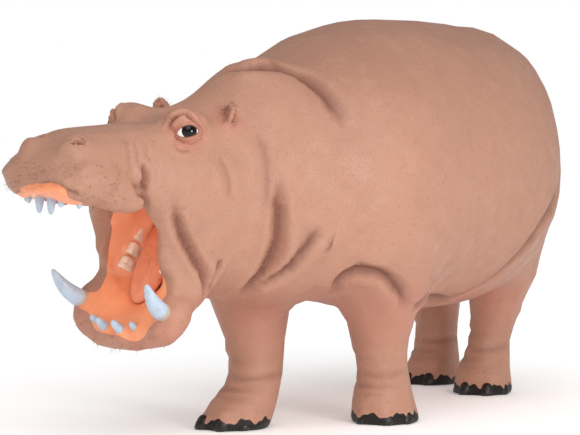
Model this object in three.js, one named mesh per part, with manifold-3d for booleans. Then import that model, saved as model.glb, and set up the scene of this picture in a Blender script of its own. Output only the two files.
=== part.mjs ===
// A life-size common hippopotamus, standing in mid stride with its mouth wide open.
//
// Millimetres, +Z up. The trunk heads along -Y and the animal's left is +X. The origin is on the
// floor, under the middle of the animal's bounding box.
//
// The flesh is one smooth skin: a field that is negative inside the animal, blended from named masses
// such as the barrel, the muzzle pads and the legs. Each named part of the body is that one skin, cut
// from its neighbours by a thin plane or dome. Teeth, nails, eyes, ears and tail are pieces of their
// own, each set in a socket of its own shape.
import * as THREE from "three";
import { mergeVertices } from "three/addons/utils/BufferGeometryUtils.js";
import Module from "manifold-3d";

const wasm = await Module();
wasm.setup();

// ---------------------------------------------------------------- driving dimensions
const GAP = 0.35; // left between two neighbouring solids
const TRIM_CELLS = 1.7; // how far a part is meshed past the cut that ends it, in cells
const SIDES = { left: 1, right: -1 };

// Trunk, along Y. A row is a station: y, half width, height of the back above the floor, height of
// the widest line, and height of the belly. The ends are rounded off by the end taper.
const TRUNK_FRONT = -900;
const TRUNK_REAR = 1240;
// Exponents of the end taper and of the section: 2 is an ellipse, more is a blunter shape.
const TRUNK_SHAPE = [2.5, 2.2];
const TRUNK_STATIONS = [
  [-900, 520, 1560, 930, 480],
  [-600, 560, 1600, 940, 450],
  [-200, 605, 1592, 930, 412],
  [200, 640, 1592, 925, 395],
  [600, 612, 1614, 965, 400],
  [950, 530, 1690, 1095, 500],
  [1240, 470, 1620, 1190, 760],
];

// Neck, from inside the shoulders to behind the skull.
const NECK_ROOT = [0, -600, 965];
const NECK_ROOT_HALF = [420, 455]; // half width and half height
const NECK_HEAD_HALF = [240, 328];

// Head. Its frame has its origin midway between the jaw joints, and -Y towards the nose.
const JAW_JOINT = [-273, -1217, 985];
const HEAD_TURN = 18; // degrees to the animal's right
const HEAD_TILT = 4; // degrees, left side down
const HEAD_NOD = -1; // degrees, nose up is positive
const GAPE = 59; // degrees that the lower jaw has swung open
const NOSE = -712; // y of the nose in the head frame

// Legs. Each has a line of four places, x and y, that its middle passes: the foot on the floor, the
// wrist or ankle, the elbow or hock, and the shoulder or hip. Their heights follow in LEG_HEIGHTS.
const LEG_HEIGHTS = { fore: [0, 200, 450, 900], hind: [0, 190, 360, 900] };
const LEGS = {
  foreleg_left: {
    kind: "fore",
    toe_out: 6,
    line: [[222, -412], [212, -430], [238, -510], [325, -580]],
  },
  foreleg_right: {
    kind: "fore",
    toe_out: 16,
    line: [[-226, -848], [-180, -748], [-228, -700], [-320, -575]],
  },
  hindleg_left: {
    kind: "hind",
    toe_out: 8,
    line: [[184, 752], [190, 775], [205, 850], [270, 860]],
  },
  hindleg_right: {
    kind: "hind",
    toe_out: 8,
    line: [[-178, 1054], [-172, 1088], [-184, 1108], [-250, 950]],
  },
};

// ---------------------------------------------------------------- frames
const radians = THREE.MathUtils.degToRad;
const vector = (at) => new THREE.Vector3(...at);
const place = (at, turn = [0, 0, 0], order = "XYZ") =>
  new THREE.Matrix4().compose(
    vector(at),
    new THREE.Quaternion().setFromEuler(new THREE.Euler(...turn.map(radians), order)),
    new THREE.Vector3(1, 1, 1),
  );

const WORLD = new THREE.Matrix4();
const HEAD = place(JAW_JOINT, [HEAD_NOD, HEAD_TILT, -HEAD_TURN], "ZXY");
const JAW = HEAD.clone().multiply(place([0, 0, 0], [GAPE, 0, 0]));

// ---------------------------------------------------------------- fields
const here = new THREE.Vector3(); // the point being measured, in the mass's own frame

// A field in the world, from one that is written in a frame of its own.
function within(frame, field) {
  const inverse = frame.clone().invert();
  return (p) => field(here.copy(p).applyMatrix4(inverse));
}

// An ellipsoid of flesh.
function mass(frame, centre, [a, b, c], turn) {
  return within(frame.clone().multiply(place(centre, turn)), ({ x, y, z }) => {
    const k0 = Math.hypot(x / a, y / b, z / c);
    const k1 = Math.hypot(x / (a * a), y / (b * b), z / (c * c));
    return k1 > 0 ? (k0 * (k0 - 1)) / k1 : -Math.min(a, b, c);
  });
}

// A limb with an oval section, from one point to another.
function limb(start, end, half_start, half_end) {
  const axis = vector(end).sub(vector(start));
  const length = axis.length();
  const along = axis.clone().normalize();
  const side = new THREE.Vector3().crossVectors(along, new THREE.Vector3(0, 0, 1)).normalize();
  const up = new THREE.Vector3().crossVectors(side, along);
  const root = vector(start);
  const from_root = new THREE.Vector3();
  return (p) => {
    from_root.copy(p).sub(root);
    const t = from_root.dot(along) / length;
    const u = THREE.MathUtils.clamp(t, 0, 1);
    const width = THREE.MathUtils.lerp(half_start[0], half_end[0], u);
    const height = THREE.MathUtils.lerp(half_start[1], half_end[1], u);
    const past = ((t - u) * length) / Math.min(width, height);
    const reach = Math.hypot(from_root.dot(side) / width, from_root.dot(up) / height, past);
    return (reach - 1) * Math.min(width, height);
  };
}

// The values of a table of stations at any place between them.
function stations(rows) {
  const width = rows[0].length - 1;
  const values = rows.flatMap((row) => row.slice(1));
  const table = new THREE.CubicInterpolant(rows.map((row) => row[0]), values, width);
  return (at) => table.evaluate(THREE.MathUtils.clamp(at, rows[0][0], rows[rows.length - 1][0]));
}

// A long body along Y, given by its half width and its top, widest and bottom lines, with both ends
// rounded off. Its shape is the two exponents, of the end taper and of the section.
function hull(frame, rows, front, rear, [end_shape, section_shape]) {
  const at = stations(rows);
  const middle_y = (front + rear) / 2;
  const half_length = (rear - front) / 2;
  return within(frame, ({ x, y, z }) => {
    const [half_width, top, middle, bottom] = at(y);
    const share = Math.min(Math.abs(y - middle_y) / half_length, 0.9999);
    const taper = Math.pow(1 - Math.pow(share, end_shape), 1 / end_shape);
    const width = half_width * taper;
    const height = (z > middle ? top - middle : middle - bottom) * taper;
    const reach = Math.pow(
      Math.pow(Math.abs(x) / width, section_shape) +
        Math.pow(Math.abs(z - middle) / height, section_shape),
      1 / section_shape,
    );
    const past = Math.max(0, Math.abs(y - middle_y) - half_length);
    return (reach - 1) * Math.min(width, height) + past;
  });
}

const join = (a, b, blend) => {
  const h = Math.max(blend - Math.abs(a - b), 0) / blend;
  return Math.min(a, b) - (h * h * blend) / 4;
};
const carve = (a, hollow, blend) => -join(-a, hollow, blend);

// Masses and hollows blended in turn. A hollow is marked as such in its row: [field, blend, "hollow"].
const blended = (rows) => (p) =>
  rows.reduce(
    (d, [field, blend, kind]) => (kind ? carve(d, field(p), blend) : join(d, field(p), blend)),
    1e4,
  );

// ---------------------------------------------------------------- the flesh
const mirrored = (side, [x, y, z]) => [side * x, y, z];
const mirroredTurn = (side, [x, y, z]) => [x, side * y, side * z];
const pair = (frame, centre, radii, blend, turn = [0, 0, 0], kind = undefined) =>
  Object.values(SIDES).map((side) => [
    mass(frame, mirrored(side, centre), radii, mirroredTurn(side, turn)),
    blend,
    kind,
  ]);

function trunkMasses() {
  return [
    [hull(WORLD, TRUNK_STATIONS, TRUNK_FRONT, TRUNK_REAR, TRUNK_SHAPE), 1],
    ...pair(WORLD, [300, -560, 880], [205, 270, 420], 150), // shoulders
    [mass(WORLD, [235, 820, 820], [185, 260, 380]), 150], // left thigh, swung forward
    [mass(WORLD, [-235, 985, 850], [180, 265, 400]), 150], // right thigh
    [mass(WORLD, [-55, -850, 730], [270, 220, 242]), 120], // breast
  ];
}

function neckMasses() {
  const head_end = new THREE.Vector3(0, 60, -75).applyMatrix4(HEAD).toArray();
  return [
    [limb(NECK_ROOT, head_end, NECK_ROOT_HALF, NECK_HEAD_HALF), 150],
    [mass(WORLD, [-190, -1010, 690], [200, 230, 160]), 110], // throat
    [mass(WORLD, [-112, -905, 1155], [190, 215, 250]), 110], // crest
  ];
}

// Upper head: cranium, snout and muzzle.
const SNOUT_STATIONS = [
  [-712, 165, 50, -28, -118],
  [-640, 198, 98, -16, -118],
  [-550, 212, 150, 0, -90],
  [-460, 192, 158, 10, -76],
  [-370, 162, 162, 10, -92],
  [-270, 178, 170, 0, -128],
  [-130, 205, 164, -20, -190],
  [0, 222, 150, -40, -230],
  [160, 235, 145, -60, -290],
];
const CRANIUM_REAR = 420;
const SNOUT_SHAPE = [3.4, 2.5];

function headMasses() {
  return [
    [hull(HEAD, SNOUT_STATIONS, NOSE, CRANIUM_REAR, SNOUT_SHAPE), 90],
    ...pair(HEAD, [138, -590, -32], [94, 108, 76], 60), // muzzle pads
    ...pair(HEAD, [94, -588, 74], [48, 60, 40], 36), // nostril mounds
    ...pair(HEAD, [132, -107, 181], [84, 98, 58], 44), // orbits
    ...pair(HEAD, [160, -455, -72], [46, 160, 60], 40, [-14, 0, 0]), // hanging side lips
    ...pair(HEAD, [168, -70, -90], [72, 180, 170], 80), // cheeks
    ...pair(HEAD, [152, 62, 140], [58, 56, 46], 50), // ear roots
    ...pair(HEAD, [206, -712, -104], [76, 66, 56], 40, [0, 0, 0], "hollow"), // lip notches
    [mass(HEAD, [0, -400, -148], [130, 236, 92]), 44, "hollow"], // palate
  ];
}

// Lower jaw, in its own frame, which is the head's swung open by the gape.
const JAW_STATIONS = [
  [-700, 236, -58, -106, -162],
  [-620, 258, -50, -108, -176],
  [-510, 258, -48, -108, -194],
  [-400, 218, -60, -125, -208],
  [-280, 190, -70, -140, -232],
  [-140, 195, -60, -150, -284],
  [20, 208, -30, -140, -298],
  [160, 185, -10, -120, -250],
];
const JAW_FRONT = -704;
const JAW_REAR = 330;
const JAW_SHAPE = [4.2, 2.7];

function jawMasses() {
  return [
    [hull(JAW, JAW_STATIONS, JAW_FRONT, JAW_REAR, JAW_SHAPE), 60],
    ...pair(JAW, [208, -535, -100], [54, 92, 60], 46), // tusk sockets
    [mass(JAW, [0, -345, -38], [136, 290, 66]), 40, "hollow"], // floor of the mouth
  ];
}

// Flesh that stretches between the jaws at the corners of the mouth, and the mouth within it.
function cheekMasses() {
  return [
    ...pair(HEAD, [160, -114, -262], [43, 126, 235], 46, [20, -8, 0]), // cheek webs
    ...pair(JAW, [172, -110, -150], [66, 180, 115], 60), // jaw muscles
    [mass(HEAD, [0, -215, -280], [134, 215, 200], [24, 0, 0]), 44, "hollow"], // open mouth
  ];
}

// A leg by height: half width and half depth.
const LEG_GIRTHS = {
  fore: [
    [-40, 126, 140],
    [60, 128, 140],
    [140, 108, 118],
    [230, 101, 108],
    [320, 110, 120],
    [450, 136, 154],
    [600, 150, 192],
    [900, 150, 230],
  ],
  hind: [
    [-40, 118, 136],
    [60, 120, 136],
    [140, 102, 112],
    [240, 90, 102],
    [340, 102, 126],
    [450, 124, 150],
    [600, 148, 180],
    [900, 160, 230],
  ],
};
const LEG_TOP = 900;

const TOE_ANGLES = [-66, -24, 20, 62]; // degrees outwards of straight ahead
const TOE_RADII = [44, 52, 58];
const TOE_REACH = [88, 112, 116, 94];

const footFrame = ({ line: [[x, y]], toe_out }) => place([x, y, 0], [0, 0, Math.sign(x) * toe_out]);

// The middle of a leg at some height, from a curve through its four places.
function legLine({ kind, line }) {
  const heights = LEG_HEIGHTS[kind];
  const course = new THREE.CubicInterpolant(heights, line.flat(), 2);
  return (z) => course.evaluate(THREE.MathUtils.clamp(z, 0, LEG_TOP));
}

function legMasses(leg) {
  const girth = stations(LEG_GIRTHS[leg.kind]);
  const middle = legLine(leg);
  const column = ({ x, y, z }) => {
    const [half_width, half_depth] = girth(z);
    const [middle_x, middle_y] = middle(z);
    const reach = Math.hypot((x - middle_x) / half_width, (y - middle_y) / half_depth);
    return (reach - 1) * Math.min(half_width, half_depth) + Math.max(0, z - LEG_TOP);
  };
  return [[column, 90], ...toes(leg).map((toe) => [mass(toe, [0, 8, 40], TOE_RADII), 26])];
}

// The frame of each toe of a foot: its origin on the floor under the toe, -Y the way it points.
function toes(leg) {
  const side = Math.sign(leg.line[0][0]);
  return TOE_ANGLES.map((angle, i) =>
    footFrame(leg)
      .multiply(place([0, 0, 0], [0, 0, side * angle]))
      .multiply(place([0, -TOE_REACH[i], 0])),
  );
}

const flesh = blended([
  ...trunkMasses(),
  ...neckMasses(),
  ...headMasses(),
  ...jawMasses(),
  ...cheekMasses(),
  ...Object.values(LEGS).flatMap(legMasses),
]);

// ---------------------------------------------------------------- meshing
// Living flesh has no plane, cylinder or swept outline, so its mesh is drawn from the field by surface
// nets: over a grid in a frame, a vertex for each sheet of the surface that passes through a cell, and
// a quad across each grid edge that the surface crosses. The vertices are then moved onto the surface.
const CORNERS = [0, 1, 2, 3, 4, 5, 6, 7].map((i) => [i & 1, (i >> 1) & 1, i >> 2]);
const EDGES = CORNERS.flatMap((_, i) =>
  [1, 2, 4].filter((bit) => !(i & bit)).map((bit) => [i, i | bit]),
);
const FACES = [1, 2, 4].flatMap((bit) => [0, bit].map((side) => (corner) => (corner & bit) === side));
const SETTLING = { steps: 4, probe: 0.02, reach: 0.5, least_slope: 0.05 }; // probe and reach in cells
const edgeKey = (cell, a, b) => cell * 64 + a * 8 + b;

// The crossed edges of a cell, grouped by the sheet of surface that they belong to.
function sheets(corner) {
  const inside = (c) => corner[c] < 0;
  const crossed = EDGES.filter(([a, b]) => inside(a) !== inside(b));
  const sheet_of = crossed.map((_, n) => n);
  const link = (m, n) => {
    const [from, to] = [sheet_of[m], sheet_of[n]];
    sheet_of.forEach((sheet, k) => {
      if (sheet === from) sheet_of[k] = to;
    });
  };
  const innerEnd = ([a, b]) => (inside(a) ? a : b);
  for (const onFace of FACES) {
    const around = crossed.flatMap((edge, n) => (edge.every(onFace) ? [n] : []));
    if (around.length === 2) link(...around);
    if (around.length < 4) continue;
    for (const m of around)
      for (const n of around) if (innerEnd(crossed[m]) === innerEnd(crossed[n])) link(m, n);
  }
  return [...new Set(sheet_of)].map((sheet) => crossed.filter((_, n) => sheet_of[n] === sheet));
}

function skinOf(field, frame, low, high, cell) {
  const count = [0, 1, 2].map((k) => Math.ceil((high[k] - low[k]) / cell[k]) + 1);
  const index = (i, j, k) => i + count[0] * (j + count[1] * k);
  const world = new THREE.Vector3();
  const measure = (x, y, z) => field(world.set(x, y, z).applyMatrix4(frame));
  const value = new Float32Array(count[0] * count[1] * count[2]);
  for (let k = 0; k < count[2]; k++)
    for (let j = 0; j < count[1]; j++)
      for (let i = 0; i < count[0]; i++) {
        const on_rim = [i, j, k].some((n, axis) => n === 0 || n === count[axis] - 1);
        const at = [i, j, k].map((n, axis) => low[axis] + n * cell[axis]);
        value[index(i, j, k)] = Math.max(measure(...at), on_rim ? 1 : -Infinity);
      }

  const points = [];
  const vertex_of = new Map();
  for (let k = 0; k < count[2] - 1; k++)
    for (let j = 0; j < count[1] - 1; j++)
      for (let i = 0; i < count[0] - 1; i++) {
        const corner = CORNERS.map(([a, b, c]) => value[index(i + a, j + b, k + c)]);
        for (const crossed of sheets(corner)) {
          const middle = [0, 0, 0];
          for (const [a, b] of crossed) {
            const t = corner[a] / (corner[a] - corner[b]) / crossed.length;
            for (const axis of [0, 1, 2]) {
              const [from, to] = [CORNERS[a][axis], CORNERS[b][axis]];
              middle[axis] += from / crossed.length + (to - from) * t;
            }
            vertex_of.set(edgeKey(index(i, j, k), a, b), points.length / 3);
          }
          const spot = [i, j, k].map((n, axis) => low[axis] + (n + middle[axis]) * cell[axis]);
          points.push(...settled(measure, spot, cell));
        }
      }

  const faces = [];
  const steps = [1, count[0], count[0] * count[1]];
  for (let k = 0; k < count[2] - 1; k++)
    for (let j = 0; j < count[1] - 1; j++)
      for (let i = 0; i < count[0] - 1; i++)
        for (const axis of [0, 1, 2]) {
          const node = index(i, j, k);
          const inside = value[node] < 0;
          if (inside === value[node + steps[axis]] < 0) continue;
          const [u, v] = [(axis + 1) % 3, (axis + 2) % 3];
          const quad = [[], [u], [u, v], [v]].map((back) => {
            const cell_index = back.reduce((at, way) => at - steps[way], node);
            const corner = back.reduce((bits, way) => bits | (1 << way), 0);
            return vertex_of.get(edgeKey(cell_index, corner, corner | (1 << axis)));
          });
          if (!inside) quad.reverse();
          faces.push(quad[0], quad[1], quad[2], quad[0], quad[2], quad[3]);
        }
  return new THREE.BufferGeometry()
    .setAttribute("position", new THREE.Float32BufferAttribute(points, 3))
    .setIndex(faces)
    .applyMatrix4(frame);
}

// Moves a point onto the surface along the field's slope, and no further than the reach.
function settled(measure, spot, cell) {
  const step = SETTLING.probe * Math.min(...cell);
  const reach = SETTLING.reach * Math.min(...cell);
  const [x0, y0, z0] = spot;
  let [x, y, z] = spot;
  for (let n = 0; n < SETTLING.steps; n++) {
    const d = measure(x, y, z);
    const slope = new THREE.Vector3(
      measure(x + step, y, z) - measure(x - step, y, z),
      measure(x, y + step, z) - measure(x, y - step, z),
      measure(x, y, z + step) - measure(x, y, z - step),
    ).divideScalar(2 * step);
    const push = d / Math.max(slope.lengthSq(), SETTLING.least_slope);
    [x, y, z] = [x - slope.x * push, y - slope.y * push, z - slope.z * push];
  }
  const clamp = THREE.MathUtils.clamp;
  return [
    clamp(x, x0 - reach, x0 + reach),
    clamp(y, y0 - reach, y0 + reach),
    clamp(z, z0 - reach, z0 + reach),
  ];
}

// ---------------------------------------------------------------- solids
function solid(geometry) {
  return new wasm.Manifold(
    new wasm.Mesh({
      numProp: 3,
      vertProperties: new Float32Array(geometry.attributes.position.array),
      triVerts: new Uint32Array(geometry.index.array),
    }),
  );
}

// The same, for a geometry of three.js, whose seams have to be closed first.
function closed(geometry) {
  const bare = new THREE.BufferGeometry().setAttribute("position", geometry.attributes.position);
  return solid(mergeVertices(bare.setIndex(geometry.index), 1e-3));
}

function geometryOf(body) {
  const mesh = body.getMesh();
  const geometry = new THREE.BufferGeometry()
    .setAttribute("position", new THREE.BufferAttribute(mesh.vertProperties, 3))
    .setIndex(new THREE.BufferAttribute(mesh.triVerts, 1))
    .toNonIndexed();
  geometry.computeVertexNormals();
  return geometry;
}

// A box between two corners of a frame.
function block(frame, low, high) {
  const size = [0, 1, 2].map((k) => high[k] - low[k]);
  const middle = [0, 1, 2].map((k) => (high[k] + low[k]) / 2);
  const box = new THREE.BoxGeometry(...size).translate(...middle).applyMatrix4(frame);
  return closed(box);
}

// An ellipsoid, grown by a margin where it cuts a socket.
function ellipsoid(frame, centre, radii, turn, segments, grow = 0) {
  return closed(
    new THREE.SphereGeometry(1, ...segments)
      .rotateX(Math.PI / 2)
      .scale(...radii.map((r) => r + grow))
      .applyMatrix4(frame.clone().multiply(place(centre, turn))),
  );
}

const FAR = 3000;
const aboveFloor = block(WORLD, [-FAR, -FAR, 0], [FAR, FAR, FAR]);

// A tooth or tail: round or oval rings along a curve, from its root to its tip. With a margin it is
// the socket that such a piece sits in.
function tapered(frame, places, radii, { sides, steps, flat = 1, grow = 0 }) {
  const curve = new THREE.CatmullRomCurve3(places.map(vector));
  const radius = stations(radii.map((r, n) => [n / (radii.length - 1), r]));
  const { normals, binormals } = curve.computeFrenetFrames(steps);
  const root = curve.getPoint(0).addScaledVector(curve.getTangent(0), -grow);
  const tip = curve.getPoint(1).addScaledVector(curve.getTangent(1), radii.at(-1) + grow);
  const points = [root, tip];
  for (let n = 0; n <= steps; n++) {
    const middle = n === 0 ? root : curve.getPoint(n / steps);
    const [width] = radius(n / steps);
    for (let k = 0; k < sides; k++) {
      const angle = (2 * Math.PI * k) / sides;
      const across = normals[n].clone().multiplyScalar(Math.cos(angle) * (width + grow));
      across.addScaledVector(binormals[n], Math.sin(angle) * (width * flat + grow));
      points.push(across.add(middle));
    }
  }
  const faces = [];
  const vertex = (n, k) => 2 + n * sides + (k % sides);
  for (let k = 0; k < sides; k++) {
    faces.push(0, vertex(0, k + 1), vertex(0, k), 1, vertex(steps, k), vertex(steps, k + 1));
    for (let n = 0; n < steps; n++) {
      faces.push(vertex(n, k), vertex(n, k + 1), vertex(n + 1, k + 1));
      faces.push(vertex(n, k), vertex(n + 1, k + 1), vertex(n + 1, k));
    }
  }
  const geometry = new THREE.BufferGeometry().setFromPoints(points).setIndex(faces);
  return solid(geometry.applyMatrix4(frame));
}

// Where the skin is met on the way out from a place inside the animal.
const RAY_LENGTH = 300;
const RAY_STEP = 4;
function onSkin(frame, from, way) {
  const ray = new THREE.Ray(vector(from), vector(way).normalize()).applyMatrix4(frame);
  const at = (reach) => ray.at(reach, new THREE.Vector3());
  let outside = RAY_STEP;
  while (outside < RAY_LENGTH && flesh(at(outside)) < 0) outside += RAY_STEP;
  let inside = outside - RAY_STEP;
  while (outside - inside > 0.1) {
    const middle = (inside + outside) / 2;
    if (flesh(at(middle)) < 0) inside = middle;
    else outside = middle;
  }
  return at(inside).applyMatrix4(frame.clone().invert());
}

// ---------------------------------------------------------------- cuts between the parts
// The neck ends at a plane across the shoulders and at a plane behind the skull. The jaws part along
// a plane that falls from behind the jaw joint through the corner of the mouth.
const SHOULDER_PLANE = place([0, -790, 950], [-15, 0, -10]);
const SKULL_PLANE = HEAD.clone().multiply(place([0, 125, 0]));
const MOUTH_PLANE = HEAD.clone().multiply(place([0, 60, -40], [22, 0, 0]));

// All on one side of a plane, but for half the gap.
const behind = (plane) => block(plane, [-FAR, GAP / 2, -FAR], [FAR, FAR, FAR]);
const before = (plane) => block(plane, [-FAR, -FAR, -FAR], [FAR, -GAP / 2, FAR]);
const above = (plane) => block(plane, [-FAR, -FAR, GAP / 2], [FAR, FAR, FAR]);
const below = (plane) => block(plane, [-FAR, -FAR, -FAR], [FAR, FAR, -GAP / 2]);

// Each leg leaves the trunk at a dome over its upper end. Under the dome's widest line the leg has a
// skirt of room around it, down to the floor.
const DOMES = {
  fore: { radii: [232, 272], height: 300, rise: 375, flare: 1.22 },
  hind: { radii: [222, 298], height: 320, rise: 385, flare: 1.15 },
};
const DOME_SIDES = 12;
const DOME_STEPS = 3;
const SKIRT_DEPTH = 60; // how far the skirt reaches below the floor
const DOME_AIM = 150; // the dome is centred on the leg's line this far above its widest line

function domeFrame(leg) {
  const { height } = DOMES[leg.kind];
  const [x, y] = legLine(leg)(height + DOME_AIM);
  return place([x, y, height]);
}

function domeSolid(leg, grow) {
  const { radii, height, rise, flare } = DOMES[leg.kind];
  const arc = Array.from({ length: DOME_STEPS + 1 }, (_, n) => {
    const angle = (Math.PI / 2) * (n / DOME_STEPS);
    return new THREE.Vector2(Math.cos(angle), Math.sin(angle) * (rise + grow));
  });
  arc[DOME_STEPS].x = 0;
  const skirt = [0, flare].map((x) => new THREE.Vector2(x, -height - SKIRT_DEPTH));
  const geometry = new THREE.LatheGeometry([...skirt, ...arc], DOME_SIDES)
    .rotateX(Math.PI / 2)
    .scale(radii[0] + grow, radii[1] + grow, 1)
    .applyMatrix4(domeFrame(leg));
  return closed(geometry);
}

function domeField(leg) {
  const { radii, height, rise, flare } = DOMES[leg.kind];
  return within(domeFrame(leg), ({ x, y, z }) => {
    const spread = THREE.MathUtils.mapLinear(Math.min(z, 0), 0, -height, 1, flare);
    const reach = Math.hypot(x / (radii[0] * spread), y / (radii[1] * spread), Math.max(z, 0) / rise);
    return (reach - 1) * radii[0];
  });
}

// ---------------------------------------------------------------- flesh parts
const planeField = (frame, sign) => within(frame, ({ y }) => sign * y);
const legs = Object.values(LEGS);
const withoutLegs = (body) => legs.reduce((rest, leg) => rest.subtract(domeSolid(leg, GAP / 2)), body);

// The room that each part is meshed in and the size of its grid cells, in the part's frame. The room
// of a leg is measured from the middle of its dome.
const TRUNK_GRID = { low: [-900, -1250, 150], high: [900, 1500, 1800], cell: [150, 195, 142] };
const NECK_GRID = { low: [-900, -1500, 200], high: [800, -350, 1750], cell: [110, 100, 110] };
const HEAD_GRID = { low: [-420, -880, -950], high: [420, 260, 420], cell: [60, 66, 60] };
const LEG_GRID = { low: [-360, -440, -140], high: [360, 440, 860], cell: [78, 80, 104] };

// The skin within some bounds, as a solid. It runs past each bound, so that a cut there is clean.
function fleshSolid(frame, { low, high, cell }, bounds) {
  const trim = TRIM_CELLS * Math.max(...cell);
  const field = (p) => Math.max(flesh(p), ...bounds.map((bound) => bound(p) - trim));
  return solid(skinOf(field, frame, low, high, cell));
}

function trunkPart() {
  const bounds = [planeField(SHOULDER_PLANE, -1)];
  const body = fleshSolid(WORLD, TRUNK_GRID, bounds);
  return withoutLegs(body).intersect(behind(SHOULDER_PLANE));
}

function neckPart() {
  const bounds = [planeField(SHOULDER_PLANE, 1), planeField(SKULL_PLANE, -1)];
  const body = fleshSolid(WORLD, NECK_GRID, bounds);
  return withoutLegs(body).intersect(before(SHOULDER_PLANE)).intersect(behind(SKULL_PLANE));
}

// The whole head, before its jaws are parted.
function skullPart() {
  return fleshSolid(HEAD, HEAD_GRID, [planeField(SKULL_PLANE, 1)]).intersect(before(SKULL_PLANE));
}

function legPart(leg) {
  const middle = new THREE.Vector3().setFromMatrixPosition(domeFrame(leg)).setZ(0);
  const body = fleshSolid(place(middle), LEG_GRID, [domeField(leg), ({ z }) => -z]);
  return body.intersect(domeSolid(leg, -GAP / 2)).intersect(aboveFloor);
}

// ---------------------------------------------------------------- eyes, ears and tail
const EYE_RADIUS = 46;
const EYE_BULGE = 19; // how far the eyeball stands out of the orbit
const EYE_ROOM = [104, -92, 146]; // a place inside the head, behind the eye
const EYE_AIM = [1, -0.55, 0.12];

const EAR = { root: [142, 60, 160], radii: [42, 17, 78], lean: [-8, 30, -16], rise: 40 };
const EAR_CUP = { radii: [32, 15, 52], forward: 13, rise: 56 };

const TAIL_LINE = [[0, 1120, 1130], [0, 1232, 1090], [4, 1268, 960], [6, 1276, 800], [2, 1262, 690]];
const TAIL_RADII = [62, 52, 36, 26, 22];
const TAIL_FLAT = 0.55;

function eyePart(side, grow = 0) {
  const surface = onSkin(HEAD, mirrored(side, EYE_ROOM), mirrored(side, EYE_AIM));
  const aim = vector(mirrored(side, EYE_AIM)).normalize();
  const centre = surface.addScaledVector(aim, EYE_BULGE - EYE_RADIUS).toArray();
  return ellipsoid(HEAD, centre, [EYE_RADIUS, EYE_RADIUS, EYE_RADIUS], [0, 0, 0], [9, 6], grow);
}

// A leaf-shaped ear, standing on the side of the crown with its cup to the front and out.
function earPart(side, grow = 0) {
  const lean = [EAR.lean[0], side * EAR.lean[1], side * EAR.lean[2]];
  const frame = HEAD.clone().multiply(place(mirrored(side, EAR.root), lean));
  const leaf = ellipsoid(frame, [0, 0, EAR.rise], EAR.radii, [0, 0, 0], [8, 6], grow);
  const cup = ellipsoid(frame, [0, -EAR_CUP.forward, EAR_CUP.rise], EAR_CUP.radii, [0, 0, 0], [7, 5]);
  return grow ? leaf : leaf.subtract(cup);
}

const tailPart = (grow = 0) =>
  tapered(WORLD, TAIL_LINE, TAIL_RADII, { sides: 8, steps: 6, flat: TAIL_FLAT, grow });

// ---------------------------------------------------------------- teeth and tongue
// Each tooth grows from a jaw along a line, given here for the left side, with the radii along it.
const TEETH = {
  tusk: {
    frame: JAW,
    line: [[202, -526, -118], [214, -545, -60], [237, -548, 32], [250, -516, 104]],
    radii: [34, 40, 32, 9],
  },
  lower_incisor_inner: {
    frame: JAW,
    line: [[42, -616, -106], [42, -632, -66], [41, -626, -12]],
    radii: [20, 21, 11],
  },
  lower_incisor_outer: {
    frame: JAW,
    line: [[98, -600, -100], [102, -612, -68], [105, -610, -36]],
    radii: [15, 15, 9],
  },
  upper_canine: {
    frame: HEAD,
    line: [[138, -572, -20], [142, -590, -72], [140, -596, -116]],
    radii: [24, 22, 8],
  },
  upper_incisor_inner: {
    frame: HEAD,
    line: [[30, -618, -50], [31, -630, -104], [31, -628, -146]],
    radii: [18, 17, 8],
  },
  upper_incisor_outer: {
    frame: HEAD,
    line: [[84, -616, -50], [86, -632, -94], [86, -632, -116]],
    radii: [15, 13, 8],
  },
};

function toothPart({ frame, line, radii }, side, grow = 0) {
  const course = line.map((at) => mirrored(side, at));
  return tapered(frame, course, radii, { sides: 6, steps: 3, grow });
}

// The cheek teeth stand in a row along each side of both jaws, and grow from the gum: their roots are
// at root_z in the jaw's frame, and their crowns point up or down from there.
const CHEEK_TEETH = 4;
const CHEEK_TOOTH = { top: 16, root: 21, height: 62, pitch: 62, first: -372, x: 116 };
function cheekTeeth(frame, root_z, up) {
  const { top, root, height, pitch, first, x } = CHEEK_TOOTH;
  return Array.from({ length: CHEEK_TEETH }, (_, n) => first + n * pitch).flatMap((y) =>
    Object.values(SIDES).map((side) =>
      closed(
        new THREE.CylinderGeometry(top, root, height, 4)
          .rotateX((up * Math.PI) / 2)
          .translate(side * x, y, root_z + (up * height) / 2)
          .applyMatrix4(frame),
      ),
    ),
  );
}

const tonguePart = (grow = 0) =>
  ellipsoid(JAW, [0, -290, -100], [92, 235, 42], [2, 0, 0], [10, 6], grow);

// ---------------------------------------------------------------- nails
// Each stands clear of the floor, so that the animal's weight is on its soles.
const NAIL = { top: 22, root: 35, height: 56, back: 22, tilt: 16, clear: 3, buried: 8, squash: 0.8 };
function nailPart(toe, grow = 0) {
  const frame = toe.clone().multiply(place([0, -NAIL.back, NAIL.clear - NAIL.buried], [-NAIL.tilt, 0, 0]));
  const cone = closed(
    new THREE.CylinderGeometry(NAIL.top + grow, NAIL.root + grow, NAIL.height + 2 * grow, 8)
      .rotateX(Math.PI / 2)
      .scale(1, NAIL.squash, 1)
      .translate(0, 0, NAIL.height / 2)
      .applyMatrix4(frame),
  );
  return cone.intersect(block(WORLD, [-FAR, -FAR, NAIL.clear - grow], [FAR, FAR, FAR]));
}

// ---------------------------------------------------------------- the animal
const SKIN = { color: 0x9a7263, roughness: 0.55 };
const IVORY = { color: 0xd8d3bf, roughness: 0.3 };
const HORN = { color: 0x2a2523, roughness: 0.45 };
const EYEBALL = { color: 0x1c120d, roughness: 0.08 };
const MOUTH_LINING = { color: 0xd98a74, roughness: 0.4 };

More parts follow.
